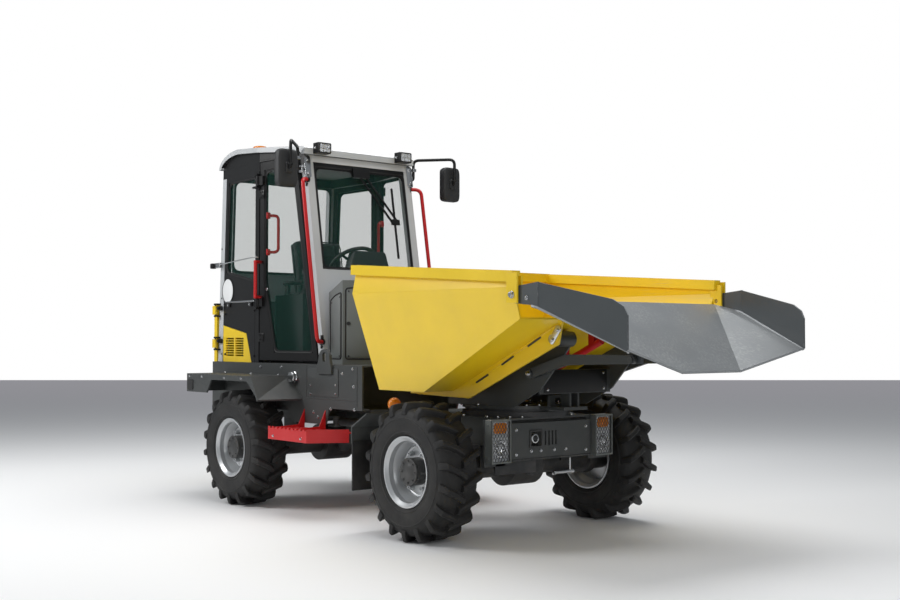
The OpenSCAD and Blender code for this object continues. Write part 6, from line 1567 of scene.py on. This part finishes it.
seal, panel, screws = bmesh.new(), bmesh.new(), bmesh.new()
for side in (-1, 1):
    hatch(SIDE_HATCH, looking_aside(side, HATCH_Y), SIDE_SCREWS)
    slant = pane_frame((SLANT_X, side * SLANT_Y, 0), (SLANT_RUN, -side * SLANT_RISE, 0), (0, 0, 1),
                       (SLANT_RISE, side * SLANT_RUN, 0))
    hatch(SLANT_HATCH, slant, SLANT_SCREWS)
    lathe(screws, TURN_LOCK, slant @ Matrix.Translation((0.045, 1.33, 0)), 24)
piece("hatch_seals", seal, "rear_frame", "flap_rubber", "seal_rubber")
piece("hatch_panels", panel, "rear_frame", "housing_grey")
piece("hatch_screws", screws, "rear_frame", "bright_steel", "hub_black")
print("hatches: 4, screws in each:", len(SIDE_SCREWS))

# %% [markdown]
# The hood behind the cab has louvres that let warm air out, and a round latch. Louvres could be cut as
# slots, but rounded bars on a closed hood look nearly the same from outside, and a loop sets them. The
# bars are black as painted shade, standing for the dark openings between the louvres.

# %% Hood
HOOD_X, LOUVRES, LOUVRE_LOW, LOUVRE_PITCH, LOUVRE_TALL, LOUVRE_HALF = -2.3453, 9, 0.800, 0.032, 0.016, 0.30
LATCH_Y, LATCH_Z = 0.40, 1.28
LATCH = [(0, 0), (0.036, 0), (0.036, 0.005), (0.030, 0.009), (0.012, 0.009), (0.012, 0.004), (0, 0.004)]
louvres, latch = bmesh.new(), bmesh.new()
# painted shade: black bars stand for the dark openings of the louvres
for k in range(LOUVRES):
    low = LOUVRE_LOW + LOUVRE_PITCH * k
    block(louvres, (HOOD_X - 0.007, -LOUVRE_HALF, low), (HOOD_X + 0.002, LOUVRE_HALF, low + LOUVRE_TALL),
          0.0035)
for y in (-0.32, 0.32):
    block(louvres, (HOOD_X - 0.004, y - 0.006, 0.785), (HOOD_X + 0.002, y + 0.006, 1.085), 0.0015, 1)
lathe(latch, LATCH, facing((HOOD_X, LATCH_Y, LATCH_Z), (-1, 0, 0)), 32)
block_about(latch, (HOOD_X - 0.010, LATCH_Y, LATCH_Z), (0.006, 0.025, 0.008))
piece("hood_louvre_shade", louvres, "hood", "yellow_paint", "black_panel")
piece("hood_latch", latch, "hood", "bright_steel")
print("louvres:", LOUVRES)

# %% [markdown]
# A tail lamp stands at each side, with its amber part outside and its red part inside. One lens with two
# colours could be painted, but two blocks under one rim give the true gap between them.

# %% Tail lamps
TAIL_X, TAIL_Y, TAIL_Z, TAIL_HALF, TAIL_HALF_TALL, TAIL_RIM = -2.0922, 0.790, 0.885, 0.100, 0.035, 0.006
TAIL_LENS = ((0.002, -0.0285, -0.001), (0.093, 0.0285, 0.007))
tail_shells, tail_red, tail_amber = bmesh.new(), bmesh.new(), bmesh.new()
for side in (-1, 1):
    at = looking_back((TAIL_X, side * TAIL_Y, TAIL_Z))
    opening = round_rect(TAIL_HALF - TAIL_RIM, TAIL_HALF_TALL - TAIL_RIM, 0.007, 4)
    plate(tail_shells, round_rect(TAIL_HALF, TAIL_HALF_TALL, 0.010, 4), 0.004, at, 0.001, holes=[opening])
    for target, way in ((tail_amber, side), (tail_red, -side)):
        (near, low, back), (far, high, front) = TAIL_LENS
        ends = sorted((way * near, way * far))
        block(target, (ends[0], low, back), (ends[1], high, front), 0.003, 2, at)
piece("tail_rims", tail_shells, "rear_frame", "black_panel")
piece("tail_red", tail_red, "rear_frame", "lamp_red")
piece("tail_amber", tail_amber, "rear_frame", "lamp_amber")
print("tail lamps: 2, each", 2 * TAIL_HALF, "m wide")

# %% [markdown]
# A skip is folded from thick sheet and welded, so it shows beads of weld where sheets meet, slots along
# its keel and a bright retainer plate over each tip pin. The slots are not cut: black rods on the sheet are
# painted shade that stands for the dark inside them. A weld could be a bump, but a tube whose radius
# changes from point to point gives its drops. The plates and pins replace the solid pins.

# %% Skip
KEEL_Y, SLOT_R, WELD_R, WELD_STEP, WELD_THIN = 0.4625, 0.0065, 0.004, 1.1, 0.78
SLOTS = [((0.892, 0.954), (1.003, 1.006)), ((1.127, 1.067), (1.233, 1.120)),
         ((1.356, 1.178), (1.466, 1.232))]
WELDS = [((0.300, 0.8665), (0.820, 0.8565)), ((0.842, 0.935), (1.600, 1.300))]
PLATE_X, PLATE_Z, PLATE_T, PLATE_BOLT, PLATE_BOLT_U = 1.585, 1.244, 0.006, 0.022, 0.036
PLATE_ALONG, PLATE_UP = (0.62, 0, 0.785), (-0.785, 0, 0.62)
TIP_PIN, TIP_PIN_AT = [(0, 0), (0.0245, 0), (0.0245, 0.158), (0, 0.158)], (1.550, 0.303, 1.220)
CHUTE_PIN, CHUTE_PIN_AT = [(0, 0), (0.0145, 0), (0.0145, 0.035), (0, 0.035)], (1.690, 0.858, 1.460)
CHUTE_PIN_END, CHUTE_PIN_BOLT = (1.690, 0.8922, 1.460), 0.034


def on_side(side, place):
    """A place given for the left side, on either side."""
    return Vector((place[0], side * place[1], place[2]))


def weld_bead(target, start, end):
    """A seam of overlapping drops along a straight line."""
    count = max(4, int((end - start).length / (WELD_R * WELD_STEP)))
    radii = [WELD_R * (1.0 if k % 2 else WELD_THIN) for k in range(count + 1)]
    tube(target, [start.lerp(end, k / count) for k in range(count + 1)], radii, 6)


slots, plates, plate_bolts, welds = (bmesh.new() for _ in range(4))
for side in (-1, 1):
    # painted shade: each black rod stands for the dark inside a slot
    for ends in SLOTS:
        tube(slots, [Vector((x, side * KEEL_Y, z)) for x, z in ends], SLOT_R, 8)
    for ends in WELDS:
        weld_bead(welds, *[Vector((x, side * KEEL_Y, z)) for x, z in ends])
    at = pane_frame((PLATE_X, side * KEEL_Y, PLATE_Z), PLATE_ALONG, PLATE_UP, (0, side, 0))
    plate(plates, round_rect(0.062, 0.022, 0.021, 8), PLATE_T, at, 0.001)
    for u in (-PLATE_BOLT_U, PLATE_BOLT_U):
        bolt(plate_bolts, at @ Vector((u, 0, PLATE_T)), (0, side, 0), PLATE_BOLT)
    lathe(plates, TIP_PIN, facing(on_side(side, TIP_PIN_AT), (0, side, 0)), 32)
    lathe(plates, CHUTE_PIN, facing(on_side(side, CHUTE_PIN_AT), (0, side, 0)), 24)
    bolt(plates, on_side(side, CHUTE_PIN_END), (0, side, 0), CHUTE_PIN_BOLT)
piece("keel_slot_shade", slots, "skip_body", "yellow_paint", "hub_black")
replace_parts(piece("pin_plates", plates, "skip_body", "bright_steel"), "skip_pins")
piece("pin_plate_bolts", plate_bolts, "skip_body", "bright_steel")
piece("keel_welds", welds, "skip_body", "yellow_paint")
print("keel slots:", 2 * len(SLOTS), "welds:", 2 * len(WELDS))

# %% [markdown]
# The chute's lip is worn bright by what slides over it. A mask could show that, but a thin rod also rounds
# the edge. A strip along each side closes the seam between floor and wing.

# %% Chute lip
LIP_R, FLOOR_SEAM_R = 0.0055, 0.0085
LIP = [(2.395, -0.750, 1.166), (2.330, -0.250, 1.042), (2.330, 0.250, 1.042), (2.395, 0.750, 1.166)]
FLOOR_SEAM = [(1.826, 0.869, 1.397), (1.866, 0.867, 1.388), (2.394, 0.749, 1.161)]
CHUTE_BOLTS = [((1.790, 0.8747, 1.440), 0.020), ((2.05, 0.3635, 1.150), 0.016),
               ((2.09, 0.3635, 1.150), 0.016)]
lip, nuts = bmesh.new(), bmesh.new()
for one, two in zip(LIP, LIP[1:]):
    tube(lip, [Vector(one), Vector(two)], LIP_R, 10)
for side in (-1, 1):
    tube(lip, [on_side(side, place) for place in FLOOR_SEAM], FLOOR_SEAM_R, 8)
    for place, size in CHUTE_BOLTS:
        bolt(nuts, on_side(side, place), (0, side, 0), size)
piece("chute_lip", lip, "chute_body", "bright_steel", "chute_floor")
piece("chute_bolts", nuts, "chute_body", "bright_steel")
print("chute lip in", len(LIP) - 1, "lengths")

# %% [markdown]
# The stage is a pale floor that ends far behind the machine, under a white sky. With distance from the
# camera the floor is painted darker and made to glow, though it is no lamp: this painted shade and glow give
# the soft grey band behind it. A backdrop picture could do the same, but a floor also takes the machine's
# shadow.

# %% Stage
FLOOR_NEAR, FLOOR_FAR, FLOOR_HALF = 45.0, 36.0, 60.0
FADE_FROM, FADE_TO, FLOOR_PALE, FLOOR_PAINTED_SHADE = 11.0, 34.0, (0.93, 0.93, 0.93, 1), (0.50, 0.49, 0.51, 1)
FLOOR_PAINTED_GLOW, FLOOR_ROUGH, FLOOR_SHINE = (0.145, 0.138, 0.148, 1), 0.6, 0.15
forward = Vector((math.cos(CAMERA_YAW), math.sin(CAMERA_YAW), 0))
sideways = Vector((-forward.y, forward.x, 0))
ground = Vector((CAMERA_AT[0], CAMERA_AT[1], 0))
reaches = [(-FLOOR_NEAR, -FLOOR_HALF), (-FLOOR_NEAR, FLOOR_HALF), (FLOOR_FAR, FLOOR_HALF),
           (FLOOR_FAR, -FLOOR_HALF)]
floor_mesh = bpy.data.meshes.new("studio_floor")
floor_mesh.from_pydata([ground + forward * a + sideways * b for a, b in reaches], [], [(0, 1, 2, 3)])
studio_floor = placed("studio_floor", floor_mesh)

floor_finish, tree, shader = shaded("studio_floor")
place = node(tree, "ShaderNodeTexCoord").outputs["Object"]
reach = node(tree, "ShaderNodeVectorMath", {0: place, 1: tuple(forward)},
             operation="DOT_PRODUCT").outputs["Value"]
start = ground.dot(forward)
levels = {0: reach, 1: start + FADE_FROM, 2: start + FADE_TO, 3: 0.0, 4: 1.0}
# painted shade and glow: by the same fade the far floor's colour turns dark and it glows
far_shade_and_glow = node(tree, "ShaderNodeMapRange", levels, interpolation_type="SMOOTHSTEP").outputs[0]
fill(tree, shader, {"Base Color": mix_colour(tree, far_shade_and_glow, FLOOR_PALE, FLOOR_PAINTED_SHADE),
                    "Emission Color": FLOOR_PAINTED_GLOW, "Emission Strength": far_shade_and_glow, "Roughness": FLOOR_ROUGH,
                    "Specular IOR Level": FLOOR_SHINE})
floor_mesh.materials.append(floor_finish)
print("floor ends", FLOOR_FAR, "m from the camera")

# %% [markdown]
# Three large soft lamps light the machine as in a studio: a broad one above, a key from the left and a weak
# fill from the camera's side. Small ones could light it too, but large ones give soft shadow edges and long
# highlights on the painted sheet.

# %% Lamps
AIM = (0.2, 0, 1.1)


def soft_lamp(name, at, size, power):
    """A round area lamp that looks at the machine."""
    data = bpy.data.lights.new(name, "AREA")
    data.shape, data.size, data.energy = "DISK", size, power
    lamp = placed(name, data)
    lamp.location = at
    lamp.rotation_euler = (Vector(AIM) - Vector(at)).to_track_quat("-Z", "Y").to_euler()


LAMPS = [("top_lamp", (-0.6, 0.8, 6.5), 5.5, 330), ("key_lamp", (-4.5, -6.5, 5.2), 3.6, 360),
         ("fill_lamp", (7.5, -3.0, 3.2), 4.5, 120)]
for name, at, size, power in LAMPS:
    soft_lamp(name, at, size, power)
print("lamps:", len(LAMPS))

# %% [markdown]
# The sky lights the machine weakly, and the camera sees plain white behind it. One background could do
# both, but a white one would flood the machine with light. The white is shown only to camera and see
# through rays, so it never adds light to the object.

# %% Sky
SKY_TINT, SKY_STRENGTH, WHITE = (0.9, 0.95, 1, 1), 0.27, (1, 1, 1, 1)
world = bpy.data.worlds.new("studio_sky")
bpy.context.scene.world = world
world.use_nodes = True
sky = world.node_tree
sky.nodes.clear()
rays = node(sky, "ShaderNodeLightPath")
seen = math_node(sky, "MAXIMUM", rays.outputs["Is Camera Ray"], rays.outputs["Is Transmission Ray"])
lit = node(sky, "ShaderNodeBackground", {"Color": SKY_TINT, "Strength": SKY_STRENGTH})
white = node(sky, "ShaderNodeBackground", {"Color": WHITE, "Strength": 1.0})
pick = node(sky, "ShaderNodeMixShader", {0: seen, 1: lit.outputs[0], 2: white.outputs[0]})
node(sky, "ShaderNodeOutputWorld", {"Surface": pick.outputs[0]})
bpy.context.scene.view_settings.view_transform = "Standard"
print("sky strength", SKY_STRENGTH)
